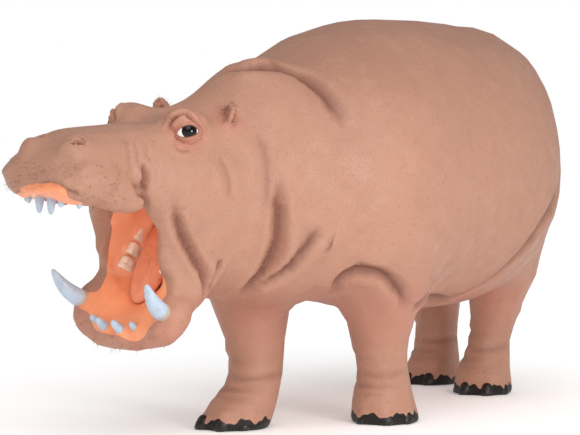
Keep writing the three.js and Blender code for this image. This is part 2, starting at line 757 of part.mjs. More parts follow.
const animal = new THREE.Group();
function add(name, body, finish) {
  const material = new THREE.MeshStandardMaterial({ ...finish, metalness: 0 });
  const mesh = new THREE.Mesh(geometryOf(body), material);
  mesh.name = name;
  animal.add(mesh);
}
const bored = (body, bores) => bores.reduce((rest, bore) => rest.subtract(bore), body);

add("trunk", trunkPart().subtract(tailPart(GAP)), SKIN);
add("tail", tailPart(), SKIN);
add("neck", neckPart(), SKIN);

let skull = skullPart().subtract(tonguePart(GAP));
add("tongue", tonguePart(), MOUTH_LINING);
for (const tooth of [...cheekTeeth(HEAD, -58, -1), ...cheekTeeth(JAW, -116, 1)]) {
  skull = skull.add(tooth.subtract(tonguePart(GAP)));
}
for (const [name, side] of Object.entries(SIDES)) {
  add(`eye_${name}`, eyePart(side), EYEBALL);
  add(`ear_${name}`, earPart(side), SKIN);
  skull = bored(skull, [eyePart(side, GAP), earPart(side, GAP)]);
  for (const [kind, tooth] of Object.entries(TEETH)) {
    add(`${kind}_${name}`, toothPart(tooth, side), IVORY);
    skull = skull.subtract(toothPart(tooth, side, GAP));
  }
}
add("head", skull.intersect(above(MOUTH_PLANE)), SKIN);
add("lower_jaw", skull.intersect(below(MOUTH_PLANE)), SKIN);

for (const [name, leg] of Object.entries(LEGS)) {
  const nails = toes(leg);
  nails.forEach((toe, n) => add(`nail_${name}_${n + 1}`, nailPart(toe), HORN));
  add(name, bored(legPart(leg), nails.map((toe) => nailPart(toe, GAP))), SKIN);
}

// The origin goes to the floor, under the middle of the bounding box.
const bounds = new THREE.Box3().setFromObject(animal);
const middle = bounds.getCenter(new THREE.Vector3());
animal.position.set(-middle.x, -middle.y, 0);

const hippopotamus = new THREE.Group();
hippopotamus.add(animal);
export default hippopotamus;
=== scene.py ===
"""A life-size hippopotamus that stands in mid stride with its mouth wide open.

Metres, +Z up. The trunk heads along -Y and the animal's left is +X. One skin stands for every part of
the flesh: it starts as the joined solids, is drawn smooth, and then gets its folds, lids, lips and
gums. Eyes, teeth, tongue and nails are pieces of their own, and the hair is solid tufts.
"""
import math
from functools import partial

import bpy
import numpy as np
from mathutils import Matrix, Vector
from mathutils.kdtree import KDTree


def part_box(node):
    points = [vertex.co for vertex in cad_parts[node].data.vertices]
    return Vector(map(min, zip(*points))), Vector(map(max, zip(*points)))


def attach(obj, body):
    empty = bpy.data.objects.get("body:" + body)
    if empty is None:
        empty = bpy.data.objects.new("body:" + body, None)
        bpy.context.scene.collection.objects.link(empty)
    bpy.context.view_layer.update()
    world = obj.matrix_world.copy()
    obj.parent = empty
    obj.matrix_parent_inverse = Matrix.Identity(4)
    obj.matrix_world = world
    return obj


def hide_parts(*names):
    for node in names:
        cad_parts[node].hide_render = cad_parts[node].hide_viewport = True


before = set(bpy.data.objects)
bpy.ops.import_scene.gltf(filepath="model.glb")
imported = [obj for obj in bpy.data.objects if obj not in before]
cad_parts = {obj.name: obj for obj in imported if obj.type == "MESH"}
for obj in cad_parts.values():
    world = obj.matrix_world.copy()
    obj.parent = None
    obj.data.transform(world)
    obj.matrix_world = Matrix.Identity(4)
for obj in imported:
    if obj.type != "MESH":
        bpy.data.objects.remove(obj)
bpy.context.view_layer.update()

SIDES = {"left": 1, "right": -1}
LEGS = ("foreleg_left", "foreleg_right", "hindleg_left", "hindleg_right")
FLESH = ("trunk", "neck", "head", "lower_jaw", "tail", "ear_left", "ear_right", *LEGS)
LOWER_TEETH = ("tusk", "lower_incisor_inner", "lower_incisor_outer")
UPPER_TEETH = ("upper_canine", "upper_incisor_inner", "upper_incisor_outer")
TEETH = [f"{kind}_{side}" for kind in (*LOWER_TEETH, *UPPER_TEETH) for side in SIDES]
NAILS = [f"nail_{leg}_{toe}" for leg in LEGS for toe in (1, 2, 3, 4)]


# -------- frames
# The head has a frame of its own, with its origin midway between the jaw joints and -Y towards the
# nose. The lower jaw's frame is the head's, swung open by the gape.
def turned(x=0.0, y=0.0, z=0.0):
    about_z = Matrix.Rotation(math.radians(z), 4, "Z")
    about_x = Matrix.Rotation(math.radians(x), 4, "X")
    return about_z @ about_x @ Matrix.Rotation(math.radians(y), 4, "Y")


def middle_of(node):
    low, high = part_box(node)
    return (low + high) / 2


GAPE = 59.0  # degrees
HEAD_TURN = turned(x=-1.0, y=4.0, z=-18.0)
JAW_TURN = HEAD_TURN @ turned(x=GAPE)
TONGUE_IN_JAW = Vector((0.0, -0.29, -0.1))
JAW_JOINT = middle_of("tongue") - JAW_TURN @ TONGUE_IN_JAW
HEAD = Matrix.Translation(JAW_JOINT) @ HEAD_TURN
JAW = Matrix.Translation(JAW_JOINT) @ JAW_TURN


def seen_from(space, points):
    """Points in a frame of their own: one row each."""
    inverse = np.array(space.inverted())
    return points @ inverse[:3, :3].T + inverse[:3, 3]


def placed(space, points):
    """Points of a frame, in the animal's own frame."""
    matrix = np.array(space)
    return np.asarray(points, float) @ matrix[:3, :3].T + matrix[:3, 3]


def smooth_step(low, high, value):
    share = np.clip((value - low) / (high - low), 0.0, 1.0)
    return share * share * (3.0 - 2.0 * share)


def in_scene(thing):
    bpy.context.scene.collection.objects.link(thing)
    return thing


# -------- camera
VIEW_TURN = 25.36  # degrees from straight ahead of the trunk, towards the animal's left
VIEW_RISE = 1.97  # degrees
VIEW_DISTANCE = 10.0
VIEW_TARGET = Vector((-0.2975, 0.167, 0.781))
LENS = 151.9


def make_camera():
    turn, rise = math.radians(VIEW_TURN), math.radians(VIEW_RISE)
    away = Vector((math.sin(turn) * math.cos(rise), -math.cos(turn) * math.cos(rise), math.sin(rise)))
    camera = in_scene(bpy.data.objects.new("camera", bpy.data.cameras.new("camera")))
    camera.data.lens = LENS
    camera.location = VIEW_TARGET + away * VIEW_DISTANCE
    camera.rotation_euler = (math.pi / 2 - rise, 0.0, turn)
    bpy.context.scene.camera = camera


# -------- materials
COLOURS = {"output": 2, "data_type": "RGBA"}  # a Mix node that mixes two colours
SOFTLY = {"interpolation_type": "SMOOTHSTEP"}  # a Map Range node with soft ends
FLESH_GLOW = (0.02, 0.008, 0.005)  # how far red, green and blue light goes through flesh, in metres


def linear(colour):
    """A colour from sRGB hex, with its alpha."""
    parts = [int(colour[n : n + 2], 16) / 255 for n in (1, 3, 5)]
    return [c / 12.92 if c <= 0.04045 else ((c + 0.055) / 1.055) ** 2.4 for c in parts] + [1.0]


def add_node(tree, kind, inputs=(), output=0, **settings):
    """Adds a node with its settings. Its inputs are set or linked, by name or in order, and one of its
    outputs is given back."""
    made = tree.nodes.new(f"ShaderNode{kind}")
    for name, value in settings.items():
        setattr(made, name, value)
    for socket, value in inputs.items() if isinstance(inputs, dict) else enumerate(inputs):
        if isinstance(value, bpy.types.NodeSocket):
            tree.links.new(value, made.inputs[socket])
        else:
            made.inputs[socket].default_value = linear(value) if isinstance(value, str) else value
    return made.outputs[output] if made.outputs else None


def made_of(finish):
    """The material of a finish: a function that gets the way to add a node and each point's place, and
    gives the shader's settings."""
    material = bpy.data.materials.new(finish.__name__)
    material.use_nodes = True
    material.node_tree.nodes.clear()
    add = partial(add_node, material.node_tree)
    shader = add("BsdfPrincipled", finish(add, add("TexCoord", output="Object")))
    add("OutputMaterial", (shader,))
    return material


def moist_bare_hide(add, place):
    """Bare hippopotamus hide, moist: brown pink, greyer along the back, pinker in the thin places, with
    fine criss-cross wrinkles and painted shade in its creases and at the lids. It turns near black in a
    band round the bottom of each foot, and inside the lips to the wet salmon lining of the mouth, painted
    paler towards the throat as painted light in the shade at the back of the mouth."""
    height = add("SeparateXYZ", (place,), output="Z")
    clouds, mottle, freckle, patches, lumps, grain = (
        add("TexNoise", {"Vector": place, "Scale": 1000.0 / millimetres, "Detail": detail})
        for millimetres, detail in ((420, 3.0), (75, 4.0), (16, 2.0), (45, 3.0), (130, 2.0), (6, 3.0))
    )
    lining, crease_shade, pink, sole, throat = (
        add("Attribute", output="Fac", attribute_name=name)
        for name in ("lining", "crease_shade", "pink", "sole", "throat")
    )
    lining = add("MapRange", (lining, -1.5, 1.5), **SOFTLY)
    sole = add("MapRange", (sole, -2.0, 2.0), **SOFTLY)

    high = add("MapRange", (height, 0.9, 1.6), **SOFTLY)
    cloudy = add("MapRange", (clouds, 0.3, 0.7, 0.3, 1.0), **SOFTLY)
    patchy = add("MapRange", (patches, 0.35, 0.7, 0.0, 0.5), **SOFTLY)
    wet = add("Mix", {0: patchy, 6: "#F0986C", 7: "#E58B63"}, **COLOURS)
    # painted light: the back of the mouth, towards the throat, is painted paler to lift the shade that
    # falls there
    wet = add("Mix", {0: throat, 6: wet, 7: "#FFB48C"}, **COLOURS)
    colour = "#AE7F69"
    for share, shade in (
        (add("Math", (high, cloudy), operation="MULTIPLY"), "#A0735F"),
        (add("MapRange", (mottle, 0.54, 0.72, 0.0, 0.25), **SOFTLY), "#9E715F"),
        (add("MapRange", (mottle, 0.46, 0.3, 0.0, 0.25), **SOFTLY), "#B98A76"),
        (add("MapRange", (freckle, 0.62, 0.72, 0.0, 0.35), **SOFTLY), "#91654F"),
        (pink, "#B87C68"),
        # painted shade in the creases and along the lid edges
        (crease_shade, "#7C4E40"),
        (lining, wet),
        (sole, "#15110F"),
    ):
        colour = add("Mix", {0: share, 6: colour, 7: shade}, **COLOURS)
    dry = add("MapRange", (mottle, 0.3, 0.7, 0.46, 0.62), **SOFTLY)
    gloss = add("Mix", {0: lining, 2: dry, 3: 0.26})

    # wrinkles lie 3 to 5 mm apart in real hide: they are drawn at 15, so that they show
    sway = add("TexNoise", {"Vector": place, "Scale": 1000.0 / 60}, output="Color")
    cells = {"Vector": add("MixRGB", (0.012, place, sway)), "Scale": 1000.0 / 15}
    cells = add("TexVoronoi", cells, output="Distance", feature="DISTANCE_TO_EDGE")
    outside = add("Math", (1.0, lining), operation="SUBTRACT")
    wrinkles = add("MapRange", (cells, 0.0, 0.14), **SOFTLY)
    wrinkles = add("Math", (wrinkles, outside), operation="MULTIPLY")
    relief = {}
    for bumps, millimetres in ((lumps, 7.0), (mottle, 1.6), (wrinkles, 0.7), (grain, 0.35)):
        relief = {"Normal": add("Bump", {"Height": bumps, "Distance": millimetres / 1000, **relief})}
    return {
        "Base Color": colour,
        "Roughness": gloss,
        "IOR": 1.42,
        "Subsurface Weight": 0.05,
        "Subsurface Radius": FLESH_GLOW,
        "Subsurface Scale": 1.0,
        **relief,
    }


def worn_ivory(add, place):
    """Hippopotamus ivory: dense, cool white and polished by use, with grooves along its length and a
    little tartar at the gum."""
    streak = {"Vector": place, "Scale": 1000.0 / 22, "Detail": 4.0, "Distortion": 0.6}
    streak = add("TexNoise", streak)
    grooved = add("MapRange", (streak, 0.4, 0.75), **SOFTLY)
    root = add("Attribute", output="Fac", attribute_name="root")
    tartar = add("MapRange", (root, 0.35, 1.0, 0.0, 0.75), **SOFTLY)
    colour = add("Mix", {0: grooved, 6: "#B3C2D2", 7: "#A3B1C0"}, **COLOURS)
    return {
        "Base Color": add("Mix", {0: tartar, 6: colour, 7: "#B39D7A"}, **COLOURS),
        "Roughness": add("MapRange", (streak, 0.3, 0.7, 0.22, 0.4), **SOFTLY),
        "Normal": add("Bump", {"Height": streak, "Distance": 0.0012}),
        "IOR": 1.54,
    }


def cream_molar_enamel(add, place):
    """Molar enamel: cream, worn dull on top and stained in its pits."""
    pits = add("TexNoise", {"Vector": place, "Scale": 1000.0 / 20, "Detail": 3.0})
    stained = add("MapRange", (pits, 0.45, 0.8), **SOFTLY)
    return {
        "Base Color": add("Mix", {0: stained, 6: "#FFF6E4", 7: "#E2C8A4"}, **COLOURS),
        "Roughness": add("MapRange", (pits, 0.3, 0.7, 0.25, 0.4), **SOFTLY),
        "Normal": add("Bump", {"Height": pits, "Distance": 0.0008}),
        "IOR": 1.62,
    }


def black_hoof_horn(add, place):
    """Hoof horn: black keratin, dull and scuffed."""
    scuff = add("TexNoise", {"Vector": place, "Scale": 1000.0 / 12, "Detail": 5.0})
    scuffed = add("MapRange", (scuff, 0.45, 0.75), **SOFTLY)
    return {
        "Base Color": add("Mix", {0: scuffed, 6: "#0E0C0B", 7: "#2B2521"}, **COLOURS),
        "Roughness": add("MapRange", (scuff, 0.3, 0.7, 0.34, 0.55), **SOFTLY),
        "Normal": add("Bump", {"Height": scuff, "Distance": 0.0008}),
        "IOR": 1.55,
    }


def wet_eyeball(add, place):
    """A wet eyeball: a near-black iris round a black pupil, and white that reddens at its edge. The gaze
    is the angle from where the eye looks, in degrees."""
    gaze = add("Attribute", output="Fac", attribute_name="gaze")
    vein = {"Vector": place, "Scale": 1000.0 / 5, "Detail": 4.0, "Distortion": 2.0}
    veined = add("MapRange", (add("TexNoise", vein), 0.6, 0.75, 0.0, 0.4), **SOFTLY)
    white = add("Mix", {0: veined, 6: "#F4F0EC", 7: "#DDA59A"}, **COLOURS)
    colour = "#020202"
    for start, end, shade in ((17.0, 23.0, "#100A07"), (31.0, 36.0, "#030202"), (36.5, 39.0, white)):
        past = add("MapRange", (gaze, start, end), **SOFTLY)
        colour = add("Mix", {0: past, 6: colour, 7: shade}, **COLOURS)
    return {"Base Color": colour, "Roughness": 0.03, "IOR": 1.4}


def wet_tongue(add, place):
    """A living tongue: wet pink flesh with a fine nap, drawn coarse enough to show."""
    blotch = add("TexNoise", {"Vector": place, "Scale": 1000.0 / 50, "Detail": 4.0})
    nap = add("TexNoise", {"Vector": place, "Scale": 1000.0 / 5})
    blotchy = add("MapRange", (blotch, 0.35, 0.7), **SOFTLY)
    lumps = add("Bump", {"Height": blotch, "Distance": 0.003})
    return {
        "Base Color": add("Mix", {0: blotchy, 6: "#F09A72", 7: "#E58A68"}, **COLOURS),
        "Roughness": add("MapRange", (blotch, 0.3, 0.7, 0.25, 0.36), **SOFTLY),
        "Normal": add("Bump", {"Height": nap, "Distance": 0.0008, "Normal": lumps}),
        "IOR": 1.4,
        "Subsurface Weight": 0.08,
        "Subsurface Radius": FLESH_GLOW,
    }


def stiff_bristle(add, place):
    """Stiff hair: brown keratin, a little shiny, some strands lighter than others."""
    strand = add("TexNoise", {"Vector": place, "Scale": 1000.0 / 9})
    colour = add("Mix", {0: strand, 6: "#4A342A", 7: "#8A6A58"}, **COLOURS)
    return {"Base Color": colour, "Roughness": 0.4, "IOR": 1.55}


def matt_white_floor(*_):
    """Matt white studio card, lit a little from within so that it stays pale under the animal."""
    glow = {"Emission Color": "#FFFFFF", "Emission Strength": 0.14}
    return {"Base Color": "#FAFAFA", "Roughness": 0.9, **glow}


# -------- modelling
def only(*pieces):
    """Selects these pieces and nothing else. The last is the active one."""
    bpy.ops.object.select_all(action="DESELECT")
    for piece in pieces:
        piece.select_set(True)
    bpy.context.view_layer.objects.active = pieces[-1]


def started(primitive, **settings):
    """A piece that starts from a primitive, with nothing else selected."""
    bpy.ops.object.select_all(action="DESELECT")
    getattr(bpy.ops.mesh, f"primitive_{primitive}_add")(**settings)
    return bpy.context.object


def edited(piece, operator, **settings):
    """Runs an edit-mode operator on all of a piece."""
    only(piece)
    bpy.ops.object.mode_set(mode="EDIT")
    bpy.ops.mesh.select_all(action="SELECT")
    operator(**settings)
    bpy.ops.object.mode_set(mode="OBJECT")


def finished_with(piece, kind, **settings):
    """Adds a modifier and applies it."""
    modifier = piece.modifiers.new(kind.lower(), kind)
    for name, value in settings.items():
        setattr(modifier, name, value)
    only(piece)
    bpy.ops.object.modifier_apply(modifier=modifier.name)


def copy_of(node, name):
    """A merged copy of a solid, free of the frame."""
    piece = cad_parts[node].copy()
    piece.data = piece.data.copy()
    piece.name = name
    piece.parent = None
    for key in list(piece.keys()):
        del piece[key]
    piece.data.materials.clear()
    edited(in_scene(piece), bpy.ops.mesh.remove_doubles, threshold=1e-5)
    only(piece)
    bpy.ops.mesh.customdata_custom_splitnormals_clear()
    return piece


def joined(pieces, name):
    only(*pieces)
    bpy.ops.object.join()
    piece = bpy.context.view_layer.objects.active
    piece.name = name
    return piece


def rows_of(items, name):
    """One row of three numbers for each item."""
    flat = np.empty(len(items) * 3, np.float32)
    items.foreach_get(name, flat)
    return flat.reshape(-1, 3).astype(float)


def points_of(piece):
    return rows_of(piece.data.vertices, "co")


def normals_of(piece):
    return rows_of(piece.data.vertex_normals, "vector")


def move_points(piece, points):
    piece.data.vertices.foreach_set("co", points.astype(np.float32).ravel())
    piece.data.update()


def tree_of(points):
    tree = KDTree(len(points))
    for n, point in enumerate(points):
        tree.insert(point, n)
    tree.balance()
    return tree


def set_group(piece, name, weights, levels=24):
    """A vertex group with these weights, in as many steps."""
    group = piece.vertex_groups.get(name) or piece.vertex_groups.new(name=name)
    steps = np.round(np.clip(weights, 0.0, 1.0) * levels).astype(int)
    for level in range(levels + 1):
        members = np.flatnonzero(steps == level)
        if len(members):
            group.add(members.tolist(), level / levels, "REPLACE")


def set_attribute(piece, name, values):
    made = piece.data.attributes.new(name, "FLOAT", "POINT")
    made.data.foreach_set("value", np.asarray(values, np.float32))


def dressed(piece, material, slot, *replaced):
    """Gives a finished piece its material, its body and the solids it stands for."""
    piece.data.materials.clear()
    piece.data.materials.append(material)
    only(piece)
    bpy.ops.object.shade_smooth()
    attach(piece, "root")
    if replaced:
        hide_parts(*replaced)
    return piece


# -------- skin: the form
VOXEL = 0.008
SKIN_FACES = 190000  # triangles
SMOOTHING_STEPS = 420
EYE_REACH, NOSTRIL_REACH, FINE_REACH = 0.075, 0.055, 0.115  # how far round each the mesh is made finer


def eye_middle(side):
    return middle_of(f"eye_{side}")


def rough_skin():
    """All the flesh as one closed skin, with the eyes and nails in it to fill their sockets."""
    filled = [*FLESH, "eye_left", "eye_right", *NAILS]
    parts = [copy_of(node, "flesh") for node in filled]
    for part in parts:
        finished_with(part, "DISPLACE", strength=0.003, mid_level=0.0)
    skin = joined([*parts, *gum_mounds()], "skin")
    finished_with(skin, "REMESH", mode="VOXEL", voxel_size=VOXEL, adaptivity=0.0)
    return skin


# Where each tooth comes through its gum: the jaw's frame, the place on the left side and the radius of
# the mound round it.
GUMS = (
    (JAW, (0.214, -0.545, -0.085), 0.05),
    (JAW, (0.042, -0.631, -0.078), 0.032),
    (JAW, (0.102, -0.611, -0.08), 0.026),
    (HEAD, (0.14, -0.58, -0.048), 0.036),
    (HEAD, (0.031, -0.625, -0.076), 0.027),
    (HEAD, (0.086, -0.623, -0.072), 0.024),
)


def gum_mounds():
    mounds = []
    for space, (x, y, z), radius in GUMS:
        for side in SIDES.values():
            mound = started("ico_sphere", subdivisions=2, radius=radius)
            mound.data.transform(space @ Matrix.Translation((side * x, y, z)))
            mounds.append(mound)
    return mounds


def softness(points):
    """How far each place of the rough skin is drawn smooth, from 0 to 1."""
    head = seen_from(HEAD, points)
    share = np.ones(len(points))
    share = np.minimum(share, 0.35 + 0.65 * smooth_step(-0.45, -0.2, points[:, 1]))
    low = smooth_step(0.36, 0.66, points[:, 2])
    share = np.minimum(share, 0.16 + 0.84 * low)
    share = np.minimum(share, 0.085 + 0.915 * smooth_step(0.06, 0.5, head[:, 1]))
    jaw = seen_from(JAW, points)
    under = smooth_step(-0.09, -0.13, jaw[:, 2]) * smooth_step(-0.15, -0.25, head[:, 2])
    share = np.where(under > 0, np.maximum(share, 0.24 * under), share)
    lip = smooth_step(-0.6, -0.65, jaw[:, 1]) * smooth_step(-0.085, -0.105, jaw[:, 2])
    share = np.maximum(share, 0.5 * lip)
    for node, reach, least in (("tail", 0.1, 0.03), ("ear_left", 0.05, 0.012), ("ear_right", 0.05, 0.012)):
        low_corner, high_corner = (np.array(corner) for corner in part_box(node))
        past = np.maximum(low_corner - points, 0.0) + np.maximum(points - high_corner, 0.0)
        share = np.minimum(share, least + smooth_step(0.0, reach, np.linalg.norm(past, axis=1)))
    return share


def draw_smooth(piece, group, steps):
    """Smooths a piece without shrinking it: what a second smoothing takes off is put back."""
    spots = []
    for _ in range(2):
        finished_with(piece, "SMOOTH", factor=0.5, iterations=steps, vertex_group=group)
        spots.append(points_of(piece))
    move_points(piece, 2.0 * spots[0] - spots[1])


# -------- skin: folds
def curve_through(places, spacing=0.006):
    """Points along a smooth curve through the places, a spacing apart."""
    places = np.asarray(places, float)
    ends = [2 * places[0] - places[1], *places, 2 * places[-1] - places[-2]]
    spots = []
    for a, b, c, d in zip(ends, ends[1:], ends[2:], ends[3:]):
        count = max(2, int(np.linalg.norm(c - b) / spacing))
        for t in np.arange(count) / count:
            spot = 2 * b + (c - a) * t + (2 * a - 5 * b + 4 * c - d) * t**2
            spots.append(0.5 * (spot + (3 * b - a - 3 * c + d) * t**3))
    return np.array([*spots, places[-1]])


class Clay:
    """The skin's points while they are worked, and the painted shade each one gets in a crease or at a
    lid's edge.
    """

    def __init__(self, piece):
        self.piece = piece
        self.points = points_of(piece)
        self.normals = normals_of(piece)
        self.crease_shade = np.zeros(len(self.points))
        self.tree = tree_of(self.points)

    def settle(self):
        """Writes the points to the mesh and takes the new normals."""
        move_points(self.piece, self.points)
        self.normals = normals_of(self.piece)

    def near(self, places, reach):
        low, high = places.min(axis=0) - reach, places.max(axis=0) + reach
        return np.flatnonzero(np.all((self.points > low) & (self.points < high), axis=1))

    def crease(self, places, width, depth, roll=0.0, fade=0.25, shade=1.0):
        """Presses a crease into the skin along a curve through the places, with a roll of flesh on
        either side of it, and paints shade along its bottom. It fades out over a share of its length at
        each end."""
        line = curve_through(places)
        nearest = [self.tree.find(Vector(spot))[1] for spot in line]
        spots, ups = self.points[nearest], self.normals[nearest]
        members = self.near(spots, 4.0 * width)
        for chunk in np.array_split(members, len(members) // 20000 + 1):
            gap = np.linalg.norm(self.points[chunk][:, None, :] - spots[None, :, :], axis=2)
            closest = gap.argmin(axis=1)
            distance = gap[np.arange(len(chunk)), closest]
            facing = smooth_step(0.0, 0.5, (self.normals[chunk] * ups[closest]).sum(axis=1))
            share = closest / (len(line) - 1)
            taper = smooth_step(0.0, fade, np.minimum(share, 1.0 - share)) * facing
            groove = np.exp(-((distance / width) ** 2)) * taper
            swell = np.exp(-(((distance - 2.1 * width) / (1.3 * width)) ** 2)) * taper
            move = roll * swell - depth * groove
            self.points[chunk] += self.normals[chunk] * move[:, None]
            # painted shade: the bottom of the crease is darkened in colour, the more so the deeper it is
            dark = np.exp(-((distance / (0.6 * width)) ** 2)) * taper * min(1.0, depth / 0.012)
            self.crease_shade[chunk] = np.maximum(self.crease_shade[chunk], shade * dark)

    def crease_head(self, places, *sizes, **ends):
        """The same crease on both sides of the head. The places are those of the left side."""
        for side in SIDES.values():
            self.crease(placed(HEAD, [(side * x, y, z) for x, y, z in places]), *sizes, **ends)

    def swell(self, place, radii, height, space):
        """Raises a soft mound on the skin, or a hollow if the height is negative."""
        local = seen_from(space, self.points)
        reach = np.linalg.norm((local - np.asarray(place)) / np.asarray(radii), axis=1)
        members = np.flatnonzero(reach < 2.5)
        self.points[members] += self.normals[members] * (height * np.exp(-(reach[members] ** 2)))[:, None]


def fold_head(clay):
    brow = [
        (0.145, -0.213, 0.148), (0.145, -0.192, 0.185), (0.174, -0.154, 0.215), (0.197, -0.141, 0.206),
        (0.211, -0.122, 0.183), (0.203, -0.086, 0.15), (0.203, -0.077, 0.112),
    ]
    pouch = [(0.16, -0.2, 0.105), (0.185, -0.175, 0.088), (0.203, -0.13, 0.09)]
    cheek = [(0.162, -0.335, 0.05), (0.165, -0.322, 0.0), (0.163, -0.322, -0.04), (0.168, -0.34, -0.075)]
    jaw = [
        (0.219, -0.214, -0.072), (0.216, -0.207, -0.117), (0.212, -0.18, -0.187), (0.21, -0.138, -0.246),
        (0.219, -0.101, -0.298), (0.228, -0.065, -0.35), (0.221, -0.039, -0.416), (0.2, -0.03, -0.47),
    ]
    under = [
        (0.242, 0.024, -0.289), (0.226, 0.008, -0.338), (0.215, -0.009, -0.371), (0.209, -0.013, -0.43),
    ]
    temple = [(0.225, -0.03, 0.08), (0.238, 0.01, 0.0), (0.24, 0.02, -0.09)]
    for places, width, depth, roll in (
        (brow, 0.009, 0.012, 0.008),
        (pouch, 0.008, 0.004, 0.003),
        (cheek, 0.012, 0.014, 0.008),
        (jaw, 0.017, 0.02, 0.013),
        (under, 0.015, 0.016, 0.01),
        (temple, 0.018, 0.004, 0.003),
    ):
        clay.crease_head(places, width, depth, roll)
    for reach, depth in ((0.3, 0.0022), (0.345, 0.0028), (0.385, 0.0022)):
        wrinkle = [(0.12, -reach, 0.13), (0.165, -reach - 0.005, 0.06), (0.165, -reach, 0.0)]
        clay.crease_head(wrinkle, 0.01, depth, 0.002)
    for place, radii, height in (
        ((0.102, -0.585, 0.08), (0.055, 0.06, 0.06), 0.01),
        ((-0.105, -0.64, 0.055), (0.045, 0.05, 0.05), 0.014),
        ((-0.08, -0.585, 0.11), (0.04, 0.035, 0.04), -0.01),
        ((-0.118, -0.615, 0.098), (0.03, 0.03, 0.03), 0.006),
        ((0.152, -0.664, 0.038), (0.05, 0.036, 0.046), -0.012),
        ((-0.152, -0.664, 0.038), (0.05, 0.036, 0.046), -0.013),
        ((0.14, -0.105, 0.23), (0.07, 0.08, 0.06), 0.006),
        ((-0.14, -0.105, 0.23), (0.07, 0.08, 0.06), 0.006),
        ((0.0, -0.04, 0.225), (0.09, 0.065, 0.06), -0.02),
    ):
        clay.swell(place, radii, height, HEAD)
    clay.swell((0.115, -0.675, -0.112), (0.05, 0.04, 0.045), -0.008, JAW)


def fold_nostrils(clay):
    rim = [
        (0.1, -0.625, 0.096), (0.089, -0.604, 0.111), (0.097, -0.58, 0.113), (0.12, -0.578, 0.103),
        (0.146, -0.597, 0.087),
    ]
    slit = [(0.114, -0.624, 0.093), (0.107, -0.606, 0.102), (0.118, -0.594, 0.101), (0.136, -0.602, 0.09)]
    clay.crease_head(rim, 0.007, 0.006, 0.004, fade=0.2)
    clay.crease_head(slit, 0.008, 0.024, 0.003, fade=0.15)


# The edge of the upper lip, from the near side to the far one, in the head's frame: the lining shows
# below it.
LIP_EDGE = (
    (0.155, -0.684, -0.046), (0.145, -0.694, -0.036), (0.1, -0.701, -0.031), (0.038, -0.701, -0.042),
    (-0.033, -0.698, -0.062), (-0.08, -0.68, -0.076), (-0.125, -0.654, -0.091),
)


def fold_lips(clay):
    """Rolls the upper lip outwards over its lining, and raises the ridges of the palate."""
    edge = [(0.205, -0.63, -0.078), (0.18, -0.662, -0.056), *LIP_EDGE]
    below = placed(HEAD, [(x, y, z - 0.006) for x, y, z in edge])
    clay.crease(below, 0.009, 0.008, 0.008, fade=0.1, shade=0.4)
    for y in (-0.6, -0.55, -0.5, -0.45, -0.4, -0.34):
        ridge = [(0.1, y + 0.02, -0.08), (0.05, y, -0.06), (0.0, y + 0.008, -0.056)]
        ridge = [*ridge, *[(-x, b, z) for x, b, z in ridge[-2::-1]]]
        clay.crease(placed(HEAD, ridge), 0.009, 0.005, 0.005, shade=0.3)


